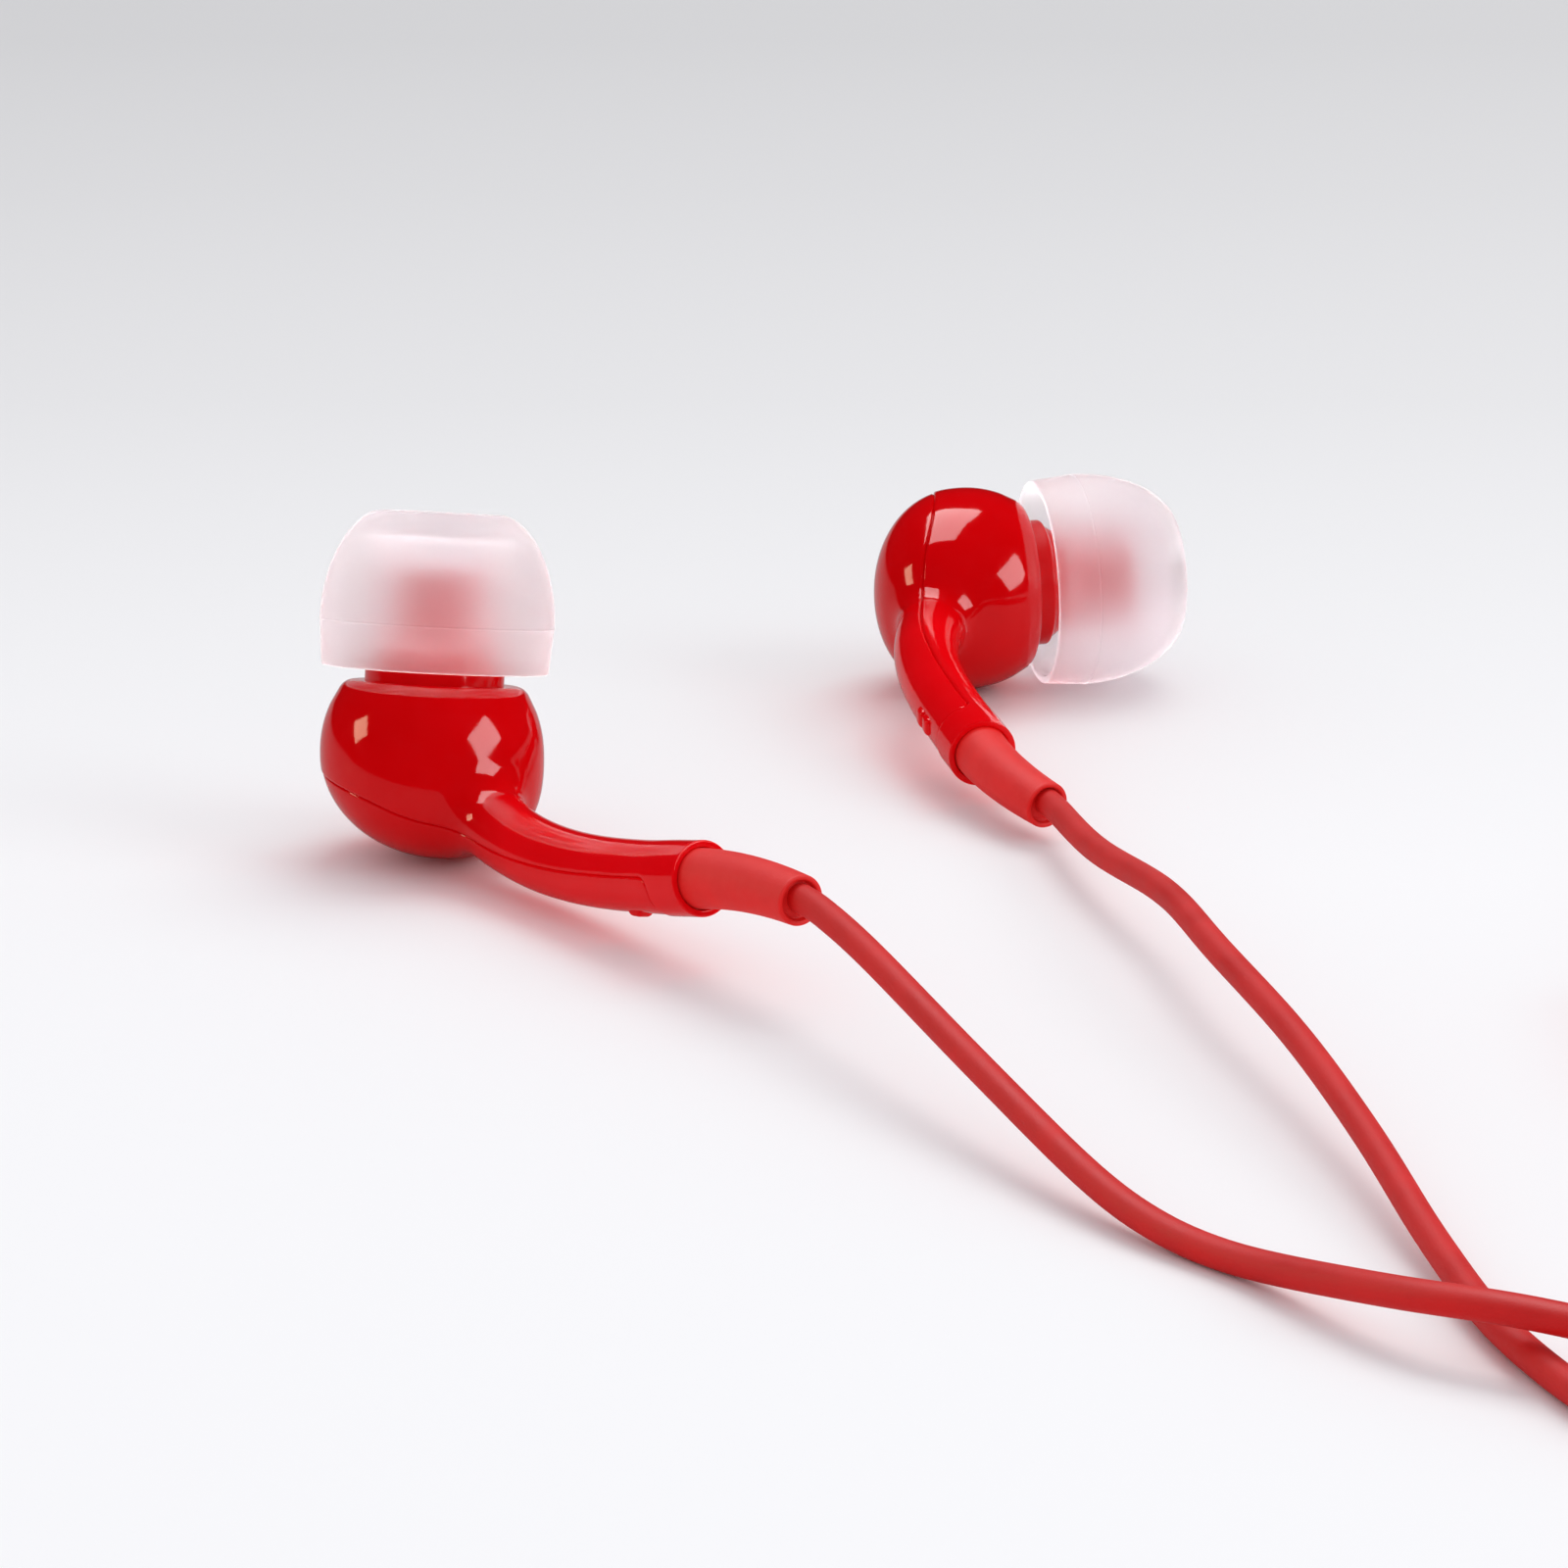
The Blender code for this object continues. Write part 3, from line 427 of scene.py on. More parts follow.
def soft_block(name, size, centre, rounding, segments=4):
    """A box with well rounded edges."""
    obj = add_mesh(name, [], [])
    with edited(obj) as shape:
        bmesh.ops.create_cube(shape, size=1.0)
        bmesh.ops.scale(shape, vec=Vector(size), verts=shape.verts)
        bmesh.ops.bevel(shape, geom=list(shape.edges), offset=rounding, segments=segments,
                        profile=0.5, affect="EDGES")
        bmesh.ops.translate(shape, vec=Vector(centre), verts=shape.verts)
    return obj


def spline(points, steps):
    """Points along a Catmull-Rom curve through the given points."""
    path = [np.array(point, float) for point in points]
    ends = [path[0] * 2 - path[1]] + path + [path[-1] * 2 - path[-2]]
    result = []
    for before, start, end, after in zip(ends, ends[1:], ends[2:], ends[3:]):
        for step in range(steps):
            t = step / steps
            result.append(0.5 * (2 * start + (end - before) * t
                                 + (2 * before - 5 * start + 4 * end - after) * t ** 2
                                 + (3 * start - before - 3 * end + after) * t ** 3))
    result.append(path[-1])
    return np.array(result)


# ---- placing pieces
def earpiece_place(side):
    """The matrix from an earpiece's own frame, in metres, to the part's frame."""
    axis = Vector(JOINTS[side + "_tip_slide"]["axis"]).normalized()
    corners = {tuple(round(c, 6) for c in v.co)
               for v in frame["nodes"][side + "_ear_tip"].data.vertices}
    middle = sum((Vector(c) for c in corners), Vector()) / len(corners)
    top = max(Vector(c).dot(axis) for c in corners)
    origin = middle + axis * (top - TIP_TOP_Z * MM - middle.dot(axis))
    reach = Vector(JOINTS[side + "_earpiece_flex"]["pos_m"]) - origin
    flat = reach - axis * reach.dot(axis)
    turn = math.asin(SLEEVE_SIDEWAYS[side] * MM / flat.length)
    flat.normalize()
    x_axis = flat * math.cos(turn) - axis.cross(flat) * math.sin(turn)
    place = Matrix((x_axis, axis.cross(x_axis), axis)).transposed().to_4x4()
    place.translation = origin
    return place


PLACE = {side: earpiece_place(side) for side in SIDES}
SLEEVE_END = {side: np.array(PLACE[side].inverted()
                             @ Vector(JOINTS[side + "_earpiece_flex"]["pos_m"])) / MM
              for side in SIDES}


def finish_piece(obj, slot_name, place, node, body=None, finish=None, sharp_angle=35.0):
    """Place a piece on its body, in a CAD node's stead, and give it its finish.

    The material reads the piece's own millimetre coordinates, from before it is placed.
    """
    mesh = obj.data
    attribute = mesh.attributes.new("own_mm", "FLOAT_VECTOR", "POINT")
    attribute.data.foreach_set("vector", vertices(obj).astype(np.float32).ravel())
    mesh.transform(place @ Matrix.Scale(MM, 4))
    mesh.materials.clear()
    mesh.materials.append(finish or FINISHES[slot_name])
    mesh.shade_smooth()
    mesh.set_sharp_from_angle(angle=math.radians(sharp_angle))
    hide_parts(node)
    if body:
        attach(obj, body)


def finish_side(obj, side, slot_name, node, body="earpiece", finish=None):
    """The same for a piece of one earpiece, made in the earpiece's own frame."""
    finish_piece(obj, slot_name, PLACE[side], side + "_" + node, side + "_" + body, finish)


# ---- node materials
class Finish:
    """A Principled material and short calls for the nodes that feed it."""

    def __init__(self, name, own_frame=True):
        self.material = bpy.data.materials.new(name)
        self.material.use_nodes = True
        self.tree = self.material.node_tree
        self.shader = self.tree.nodes["Principled BSDF"]
        self.out = self.tree.nodes["Material Output"]
        if own_frame:
            self.own = self.node("ShaderNodeAttribute", attribute_name="own_mm").outputs["Vector"]
        else:
            placed = self.node("ShaderNodeTexCoord").outputs["Object"]
            self.own = self.stretched((1.0 / MM,) * 3, placed)

    def put(self, target, value):
        """Link an output to the input socket target, or set the socket's own value."""
        if isinstance(value, bpy.types.NodeSocket):
            self.tree.links.new(value, target)
        else:
            target.default_value = (*value, 1.0) if target.type == "RGBA" else value

    def node(self, kind, inputs=None, **settings):
        """A new node with its settings and its inputs, given by name or number."""
        result = self.tree.nodes.new(kind)
        for key, value in settings.items():
            setattr(result, key, value)
        for key, value in (inputs or {}).items():
            self.put(result.inputs[key], value)
        return result

    def set(self, **inputs):
        for key, value in inputs.items():
            self.put(self.shader.inputs[key.replace("_", " ")], value)

    def noise(self, scale, detail=3.0, roughness=0.5, vector=None):
        inputs = {"Vector": vector or self.own, "Scale": scale, "Detail": detail,
                  "Roughness": roughness}
        return self.node("ShaderNodeTexNoise", inputs).outputs["Fac"]

    def stretched(self, scale, vector=None):
        inputs = {0: vector or self.own, 1: scale}
        return self.node("ShaderNodeVectorMath", inputs, operation="MULTIPLY").outputs["Vector"]

    def along(self, axis):
        """The distance along one of the piece's own axes."""
        return self.node("ShaderNodeSeparateXYZ", {"Vector": self.own}).outputs[axis]

    def span(self, value, low, high, to_low=0.0, to_high=1.0):
        inputs = {"Value": value, "From Min": low, "From Max": high,
                  "To Min": to_low, "To Max": to_high}
        return self.node("ShaderNodeMapRange", inputs).outputs["Result"]

    def maths(self, operation, first, second=0.0):
        return self.node("ShaderNodeMath", {0: first, 1: second}, operation=operation).outputs[0]

    def mix(self, share, first, second):
        inputs = {"Factor": share, 6: first, 7: second}
        return self.node("ShaderNodeMix", inputs, data_type="RGBA").outputs[2]

    def specks(self, scale, size, patches, threshold):
        """Sparse specks of dust, gathered in patches."""
        cells = self.node("ShaderNodeTexVoronoi", {"Vector": self.own, "Scale": scale})
        dust = self.span(cells.outputs["Distance"], 0.0, size, 1.0, 0.0)
        return self.maths("MULTIPLY", dust, self.span(self.noise(patches), threshold, threshold + 0.04))

    def ramp(self, value, stops):
        """Greys read off a ramp of (position, brightness) stops."""
        node = self.node("ShaderNodeValToRGB", {"Fac": value})
        elements = node.color_ramp.elements
        while len(elements) < len(stops):
            elements.new(0.5)
        for element, (position, grey) in zip(elements, stops):
            element.position = position
            element.color = (grey, grey, grey * 1.005, 1.0)
        return node.outputs["Color"]

    def bump(self, height, depth, strength=1.0, below=None):
        inputs = {"Height": height, "Distance": depth * MM, "Strength": strength}
        if below is not None:
            inputs["Normal"] = below
        return self.node("ShaderNodeBump", inputs).outputs["Normal"]

    def blend(self, share, first, second):
        """One shader into another."""
        return self.node("ShaderNodeMixShader", {"Fac": share, 1: first, 2: second}).outputs[0]

    def let_light_through(self, surface, share, colour, bounced=0.0):
        """Shadow rays, and a share of bounced rays, carry tinted light through the surface."""
        clear = self.node("ShaderNodeBsdfTransparent", {"Color": colour}).outputs["BSDF"]
        rays = self.node("ShaderNodeLightPath").outputs
        passing = self.maths("MAXIMUM", self.maths("MULTIPLY", rays["Is Shadow Ray"], share),
                             self.maths("MULTIPLY", rays["Is Diffuse Ray"], bounced))
        self.put(self.out.inputs["Surface"], self.blend(passing, surface, clear))


def gloss_red():
    """Glossy moulded plastic: faint flow marks, handling haze and a few specks of dust.

    The arm, beyond the housing along X, gets a lighter red: painted light for what it reflects.
    """
    f = Finish("gloss_red")
    flow = f.noise(0.22, 2.0)
    haze = f.noise(0.9, 4.0, 0.6)
    scratches = f.noise(2.0, 2.0, 0.5, f.stretched((0.4, 6.0, 2.0)))
    dust = f.specks(2.3, 0.05, 0.8, 0.62)
    colour = f.mix(flow, (0.58, 0.0, 0.0008), (0.68, 0.0004, 0.003))
    # painted light: a lighter red on the arm, for the bright surroundings it reflects
    arm_painted_light = f.mix(flow, (0.73, 0.001, 0.003), (0.84, 0.002, 0.006))
    colour = f.mix(f.span(f.along("X"), *ARM_PAINTED_LIGHT_X), colour, arm_painted_light)
    colour = f.mix(f.maths("MULTIPLY", dust, 0.3), colour, (0.9, 0.5, 0.45))
    rough = f.maths("ADD", f.span(haze, 0.35, 0.75, 0.05, 0.11),
                    f.span(scratches, 0.6, 0.8, 0.0, 0.04))
    f.set(Base_Color=colour, Roughness=f.maths("ADD", rough, f.maths("MULTIPLY", dust, 0.4)))
    f.set(IOR=1.5, Specular_IOR_Level=0.27)
    f.set(Subsurface_Weight=0.12, Subsurface_Scale=0.6 * MM, Subsurface_Radius=(1.0, 0.12, 0.08))
    waves = f.bump(flow, 0.02, 0.5)
    f.set(Normal=f.bump(f.noise(9.0, 2.0), 0.0008, 0.6, waves))
    f.let_light_through(f.shader.outputs["BSDF"], 0.85, (1.0, 0.08, 0.07))
    return f.material


def matte_red(name, strength, tint):
    """Matte elastomer: fine grain, soft sheen, rubbed and dusty patches."""
    def red(brightness, whiteness):
        return brightness * strength, whiteness * tint, whiteness * tint * 0.85
    f = Finish(name)
    patches = f.noise(0.35, 3.0)
    grain = f.noise(14.0, 3.0, 0.65)
    blotch = f.noise(2.2, 3.0, 0.6)
    colour = f.mix(f.span(patches, 0.3, 0.7), red(0.80, 0.005), red(0.90, 0.012))
    colour = f.mix(f.span(blotch, 0.45, 0.8, 0.0, 0.2), colour, red(0.92, 0.045))
    colour = f.mix(f.span(grain, 0.55, 0.85, 0.0, 0.2), colour, red(0.93, 0.07))
    f.set(Base_Color=colour, Roughness=f.span(patches, 0.3, 0.7, 0.5, 0.64))
    f.set(IOR=1.48, Specular_IOR_Level=0.3)
    f.set(Sheen_Weight=0.06, Sheen_Roughness=0.45, Sheen_Tint=(1.0, 0.45, 0.40))
    f.set(Normal=f.bump(grain, 0.02, 0.7, f.bump(blotch, 0.03, 0.35)))
    return f.material


def silicone():
    """Frosted clear silicone: most light goes through it scattered, a little is sent back."""
    f = Finish("silicone")
    frost = f.noise(16.0, 3.0, 0.6)
    cloud = f.noise(0.5, 3.0)
    dust = f.specks(1.7, 0.04, 0.7, 0.58)
    colour = f.mix(cloud, (0.994, 0.980, 0.990), (1.0, 0.992, 0.998))
    f.set(Base_Color=f.mix(f.maths("MULTIPLY", dust, 0.35), colour, (0.6, 0.55, 0.55)))
    f.set(Roughness=f.span(frost, 0.3, 0.7, 0.60, 0.70), IOR=1.27, Transmission_Weight=1.0)
    f.set(Normal=f.bump(frost, 0.003, 0.5, f.bump(cloud, 0.03, 0.3)))
    milk = f.node("ShaderNodeBsdfTranslucent", {"Color": (0.97, 0.95, 1.0)}).outputs["BSDF"]
    milky = f.blend(0.12, f.shader.outputs["BSDF"], milk)
    f.let_light_through(milky, 0.82, (1.0, 0.975, 0.985), 1.0)
    return f.material


def metal(name, colour, rough, brushed=(1.0, 1.0, 8.0)):
    """Turned or drawn metal with fine lines and slight tarnish."""
    f = Finish(name, own_frame=False)
    lines = f.noise(5.0, 2.0, 0.5, f.stretched(brushed))
    tarnish = f.noise(0.8, 4.0)
    darker = tuple(c * 0.82 for c in colour)
    f.set(Base_Color=f.mix(f.span(tarnish, 0.35, 0.7), colour, darker), Metallic=0.8)
    f.set(Roughness=f.span(lines, 0.3, 0.7, rough * 0.8, rough * 1.3))
    f.set(Normal=f.bump(lines, 0.004, 0.5))
    return f.material


def dull(name, colour, rough, grain=10.0, depth=0.01):
    """Moulded, woven or coated non-metal with an even grain."""
    f = Finish(name, own_frame=False)
    cloud = f.noise(0.7, 3.0)
    fine = f.noise(grain, 3.0, 0.6)
    darker = tuple(c * 0.75 for c in colour)
    f.set(Base_Color=f.mix(f.span(cloud, 0.3, 0.7), colour, darker))
    f.set(Roughness=f.span(fine, 0.3, 0.7, rough * 0.9, min(1.0, rough * 1.1)))
    f.set(Normal=f.bump(fine, depth, 0.6))
    return f.material


SLEEVE_RED = matte_red("sleeve_red", 0.94, 0.8)
FINISHES = {
    "gloss_red": gloss_red(),
    "matte_red": matte_red("cable_red", 0.75, 0.1),
    "silicone": silicone(),
    "steel": metal("steel", (0.60, 0.60, 0.61), 0.32),
    "nickel": metal("nickel", (0.86, 0.84, 0.80), 0.24, (1.0, 1.0, 14.0)),
    "magnet": metal("magnet", (0.42, 0.42, 0.44), 0.38),
    "film": dull("film", (0.80, 0.77, 0.68), 0.25, 6.0, 0.004),
    "copper": metal("copper", (0.78, 0.38, 0.19), 0.3, (1.0, 1.0, 20.0)),
    "green_enamel": dull("green_enamel", (0.06, 0.36, 0.13), 0.3),
    "board": dull("board", (0.07, 0.30, 0.13), 0.4),
    "felt": dull("felt", (0.13, 0.13, 0.13), 0.95, 18.0, 0.05),
    "black_plastic": dull("black_plastic", (0.03, 0.03, 0.032), 0.42),
    "grey_plastic": dull("grey_plastic", (0.36, 0.36, 0.37), 0.5),
}


def dress_cad_nodes():
    """Give every CAD solid its finish."""
    for part in frame["record"]["subparts"]:
        materials = frame["nodes"][part["node"]].data.materials
        materials.clear()
        materials.append(FINISHES[part["material_slot"]])


# ---- housing shape
def dome(radius, start_z, end_z, count):
    """A full, slightly squared dome from its rim back to the axis."""
    points = []
    for step in range(1, count + 1):
        angle = 0.5 * math.pi * step / count
        points.append((radius * math.cos(angle) ** DOME_POWERS[0],
                       start_z + (end_z - start_z) * math.sin(angle) ** DOME_POWERS[1]))
    points[-1] = (0.0, end_z)
    return points


def skin_outline():
    """The housing's skin from the middle of its front face to the middle of its back."""
    def side(z):
        swell = (HOUSING_RADIUS - FRONT_EDGE_RADIUS) * (1.0 - z / WIDEST_Z) ** SIDE_SWELL
        return HOUSING_RADIUS - swell, z
    edge = rounded(((0.0, 0.0), (side(-0.05)[0], 0.0), side(-FRONT_EDGE_DEPTH)),
                   FRONT_EDGE_ROUNDING, 10)
    sides = [side(z) for z in np.linspace(-FRONT_EDGE_DEPTH, WIDEST_Z, 22)]
    return np.array(list(edge[:-1]) + sides + dome(HOUSING_RADIUS, WIDEST_Z, HOUSING_BACK_Z, 40))


def nearest_on_line(points, line):
    """For 2-D points, the offset from the nearest spot on a polyline, and its length."""
    best = np.full(len(points), 1e9)
    offset = np.zeros_like(points)
    for start, end in zip(line, line[1:]):
        span = end - start
        share = np.clip((points - start) @ span / (span @ span), 0.0, 1.0)
        away = points - (start + share[:, None] * span)
        reach = np.hypot(away[:, 0], away[:, 1])
        nearer = reach < best
        best[nearer] = reach[nearer]
        offset[nearer] = away[nearer]
    return offset, best


def inside_convex(points, line):
    result = np.ones(len(points), bool)
    for start, end in zip(line, line[1:]):
        span = end - start
        side = span[0] * (points[:, 1] - start[1]) - span[1] * (points[:, 0] - start[0])
        result &= side < 0.0
    return result


SKIN = skin_outline()


def lean_at(z):
    """How far the back of the housing is carried towards the arm, and how fast that grows."""
    depth = LEAN_START_Z - z
    reach = np.sqrt(depth ** 2 + LEAN_EASE ** 2)
    return LEAN * 0.5 * (depth + reach), LEAN * 0.5 * (1.0 + depth / reach)


def housing_level(points):
    """Distance outside the housing's skin, and the direction in which it grows."""
    lean, steepness = lean_at(points[:, 2])
    x = points[:, 0] - lean
    radius = np.maximum(np.hypot(x, points[:, 1]), 1e-6)
    flat = np.stack([radius, points[:, 2]], 1)
    offset, reach = nearest_on_line(flat, SKIN)
    sign = np.where(inside_convex(flat, SKIN), -1.0, 1.0)
    slope = offset / np.maximum(reach, 1e-9)[:, None] * sign[:, None]
    grow_x = slope[:, 0] * x / radius
    grow_z = slope[:, 1] + grow_x * steepness
    return reach * sign, np.stack([grow_x, slope[:, 0] * points[:, 1] / radius, grow_z], 1)


def bezier(t, order=0):
    """The arm's middle line, or its first or second derivative, at each t."""
    t = np.asarray(t, float)[:, None]
    a, b, c, d = ARM_BEZIER
    if order == 0:
        return (1 - t) ** 3 * a + 3 * t * (1 - t) ** 2 * b + 3 * t * t * (1 - t) * c + t ** 3 * d
    if order == 1:
        return 3 * ((1 - t) ** 2 * (b - a) + 2 * t * (1 - t) * (c - b) + t * t * (d - c))
    return 6 * ((1 - t) * (c - 2 * b + a) + t * (d - 2 * c + b))


ARM_PATH = Path(bezier(np.linspace(0.0, 1.0, 121)))
ARM_END = ARM_BEZIER[3]
ARM_OUT = (ARM_BEZIER[3] - ARM_BEZIER[2]) / np.linalg.norm(ARM_BEZIER[3] - ARM_BEZIER[2])


def smooth_step(value):
    value = np.clip(value, 0.0, 1.0)
    return value * value * (3.0 - 2.0 * value)


def arm_radius(t):
    flare = ARM_ROOT_FLARE * np.maximum(0.0, 1.0 - ARM_ROOT_TAPER * t) ** 2
    start, end = ARM_END_SWELL
    swell = (ARM_END_RADIUS - ARM_RADIUS) * smooth_step((t - start) / (end - start))
    return ARM_RADIUS + flare + swell


def arm_level(points):
    """Distance outside the arm's skin, and the direction in which it grows."""
    samples = np.linspace(0.0, 1.0, 25)
    line = bezier(samples)
    gaps = np.linalg.norm(points[:, None, :] - line[None, :, :], axis=2)
    t = samples[np.argmin(gaps, axis=1)]
    for _ in range(3):
        away = bezier(t) - points
        first = bezier(t, 1)
        slope = np.sum(away * first, axis=1)
        curve = np.sum(first * first, axis=1) + np.sum(away * bezier(t, 2), axis=1)
        t = np.clip(t - slope / np.maximum(curve, 1.0), 0.0, 1.0)
    beyond = np.maximum(0.0, (points - ARM_END) @ ARM_OUT)
    away = points - bezier(t) - np.where(t > 0.999, beyond, 0.0)[:, None] * ARM_OUT
    reach = np.maximum(np.linalg.norm(away, axis=1), 1e-6)
    return reach - arm_radius(t), away / reach[:, None]


def shell_level(points):
    """Housing and arm run together with a fillet."""
    a, grow_a = housing_level(points)
    b, grow_b = arm_level(points)
    share = np.clip(0.5 + 0.5 * (b - a) / ROOT_FILLET, 0.0, 1.0)
    level = share * a + (1.0 - share) * b - ROOT_FILLET * share * (1.0 - share)
    return level, share[:, None] * grow_a + (1.0 - share)[:, None] * grow_b


def onto_skin(points, rounds=4):
    for _ in range(rounds):
        level, grow = shell_level(points)
        steepness = np.maximum(np.sum(grow * grow, axis=1), 0.2)
        points = points - (level / steepness)[:, None] * grow
    return points


def seam_line():
    """The cut between the shells, seen from the side, down to below the arm."""
    line = spline(SEAM_OUTLINE, 8)
    corner = rounded((line[-6], line[-1], (REAR_HALF_END_X, CUTTER_REACH[2])), SEAM_CORNER, 8)
    return np.vstack([line[:-6], corner])


SEAM = seam_line()


def lean_back(obj):
    points = vertices(obj)
    points[:, 0] += lean_at(points[:, 2])[0]
    set_vertices(obj, points)
    return obj


def refine_near_seam(obj):
    """Halve the faces along the seam, where the shells are cut apart."""
    points = vertices(obj)
    near = nearest_on_line(points[:, [0, 2]], SEAM)[1] < SEAM_FINE_REACH
    near &= points[:, 0] < REAR_HALF_END_X + 0.6
    with edited(obj) as shape:
        edges = [edge for edge in shape.edges if all(near[v.index] for v in edge.verts)]
        bmesh.ops.subdivide_edges(shape, edges=edges, cuts=1, use_grid_fill=True)


def solid_blank():
    """Housing and arm as one smooth solid."""
    blank = lean_back(lathe("blank", SKIN, 96))
    end = ARM_PATH.length + MOUTH_DEPTH
    rough = [(0.0, 0.0), (2.4, 0.0), (1.9, 4.0), (1.9, end), (0.0, end)]
    blank = carve(blank, swept("arm", ARM_PATH, rough, 64, closed=False), "UNION")
    remesh = blank.modifiers.new("even", "REMESH")
    remesh.mode = "VOXEL"
    remesh.voxel_size = VOXEL
    frozen(blank)
    set_vertices(blank, onto_skin(vertices(blank)))
    refine_near_seam(blank)
    set_vertices(blank, onto_skin(vertices(blank), 2))
    return weld(blank)


def cavity_outline():
    """Everything hollow, from in front of the nozzle's mouth back to behind the driver."""
    points = [(0.0, CAVITY_STEPS[0][1])]
    ends = [z for _, z in CAVITY_STEPS[1:]] + [CAVITY_DOME_Z[0]]
    for (radius, front_z), end_z in zip(CAVITY_STEPS, ends):
        points += [(radius, front_z), (radius, end_z)]
    return np.array(points + dome(radius, *CAVITY_DOME_Z, 12))


def mouth_tool():
    """What is taken from the arm's end: the recess, the lip's rounding and all beyond it."""
    end = ARM_PATH.length
    profile = rounded(((0.0, end - MOUTH_DEPTH), (MOUTH_RADIUS, end - MOUTH_DEPTH),
                       (MOUTH_RADIUS, end - 0.02, 0.1), (ARM_END_RADIUS - 0.02, end - 0.02, 0.1),
                       (ARM_END_RADIUS + 0.06, end - MOUTH_TRIM, 0.05), (3.2, end - MOUTH_TRIM),
                       (3.2, end + 2.0), (0.0, end + 2.0)), 0.02)
    return swept("mouth", ARM_PATH, profile, 96, closed=False)


def hollow_blank():
    blank = solid_blank()
    blank = carve(blank, lathe("nozzle", rounded(NOZZLE_OUTLINE, 0.1), 128), "UNION")
    blank = carve(blank, lean_back(lathe("cavity", cavity_outline(), 64)), "DIFFERENCE")
    along = np.linspace(ARM_BORE_START, ARM_PATH.length, 40)
    bore = [(0.0, along[0]), *((ARM_BORE_RADIUS, s) for s in along), (0.0, along[-1])]
    blank = carve(blank, swept("bore", ARM_PATH, bore, 32, closed=False), "DIFFERENCE")
    return carve(blank, mouth_tool(), "DIFFERENCE")


def soften_cut(obj, inset):
    """Roll the skin inwards along the seam, and let the whole skin in by inset."""
    points = vertices(obj)
    level, grow = shell_level(points)
    grow /= np.maximum(np.linalg.norm(grow, axis=1), 1e-6)[:, None]
    on_skin = np.abs(level) < 0.02
    near = nearest_on_line(points[:, [0, 2]], SEAM)[1]
    drop = EDGE_DROP * np.clip(1.0 - near / EDGE_WIDTH, 0.0, 1.0) ** 2 + inset
    points[on_skin] -= (grow * drop[:, None])[on_skin]
    set_vertices(obj, points)


def side_mark(index, count):
    """A small raised pad: one tells the left side by touch, two the right."""
    x = MARK_X + (index - (count - 1) / 2) * MARK_SPACING
    middle = bezier([x / ARM_END[0]])[0]
    centre = (middle[0], 0.0, middle[2] - ARM_RADIUS + MARK_SINK)
    return soft_block("mark", MARK_SIZE, centre, MARK_ROUNDING, 6)


def make_shells():
    blank = hollow_blank()
    start_x = SEAM[0][0]
    end_x, half_y, low_z, high_z = CUTTER_REACH
    front_outline = [*SEAM, (end_x, low_z), (end_x, high_z), (start_x, high_z)]
    rear_outline = [*SEAM, (start_x, low_z)] - np.array(SEAM_GAP)
    front = carve(copy_of(blank, "front"), slab("front_region", front_outline, half_y), "INTERSECT")
    rear = carve(blank, slab("rear_region", rear_outline, half_y), "INTERSECT")
    soften_cut(front, 0.0)
    soften_cut(rear, REAR_INSET)
    for count, side in enumerate(SIDES, start=1):
        side_front = copy_of(front, side + "_housing_front")
        side_rear = copy_of(rear, side + "_housing_rear")
        for index in range(count):
            side_rear = carve(side_rear, side_mark(index, count), "UNION")
        finish_side(weld(side_front, 2e-3), side, "gloss_red", "front_shell")
        finish_side(weld(side_rear, 2e-3), side, "gloss_red", "rear_shell")
    for obj in (front, rear):
        bpy.data.objects.remove(obj, do_unlink=True)


# ---- ear tip
def tip_skin(shrink, count):
    """The dome from its top corner down to its rim, shrink inside the outer skin."""
    radius = TIP_RADIUS - shrink
    top_radius = TIP_TOP_RADIUS - shrink * 0.4
    top_z = TIP_TOP_Z - shrink
    points = []
    for step in range(count + 1):
        angle = 0.5 * math.pi * step / count
        points.append((top_radius + (radius - top_radius) * math.sin(angle) ** TIP_SHOULDER,
                       TIP_WIDEST_Z + (top_z - TIP_WIDEST_Z) * math.cos(angle)))
    points[-1] = (radius, TIP_WIDEST_Z)
    return points


def tip_profile():
    """Mouth, outer skin, mould line, rim, inner skin and the tube that holds the nozzle."""
    outer = tip_skin(0.0, 30)
    inner = [(radius, min(z, TIP_TUBE[0][1])) for radius, z in reversed(tip_skin(TIP_SKIN, 20))]
    mouth = rounded((TIP_TUBE[-1], (TIP_MOUTH_RADIUS, TIP_TOP_Z - 0.02, 0.35), outer[0]), 0.3, 6)
    mould_line = [(TIP_RADIUS + out, TIP_WIDEST_Z + up) for out, up in TIP_MOULD_LINE]
    rim = rounded((mould_line.pop(), (TIP_RIM_RADIUS, TIP_RIM_Z, 0.1),
                   (TIP_RIM_RADIUS - TIP_SKIN, TIP_RIM_Z, 0.14), inner[0]), 0.1, 5)
    tube = rounded(TIP_TUBE, 0.2, 5)
    return np.array([*mouth[1:-1], *outer, *mould_line, *rim[:-1], *inner, *tube])


def make_ear_tips():
    for side in SIDES:
        tip = lathe(side + "_tip", tip_profile(), 144, closed=True)
        finish_side(tip, side, "silicone", "ear_tip", "tip")


# ---- nozzle screen
def mesh_wire(index, turn, reach, height):
    """One wire of the screen, woven over and under the ones that cross it."""
    offset = index * MESH_PITCH
    half = math.sqrt(reach ** 2 - offset ** 2)
    along = np.linspace(-half, half, 41)
    lift = MESH_WIRE_RADIUS * np.cos(math.pi * (along / MESH_PITCH + index + turn))
    line = np.stack([along, np.full(len(along), offset), height + lift], 1)
    path = Path(line[:, [1, 0, 2]] if turn else line)
    profile = [(MESH_WIRE_RADIUS, distance) for distance in path.distance]
    return swept("wire", path, profile, 6, closed=False)


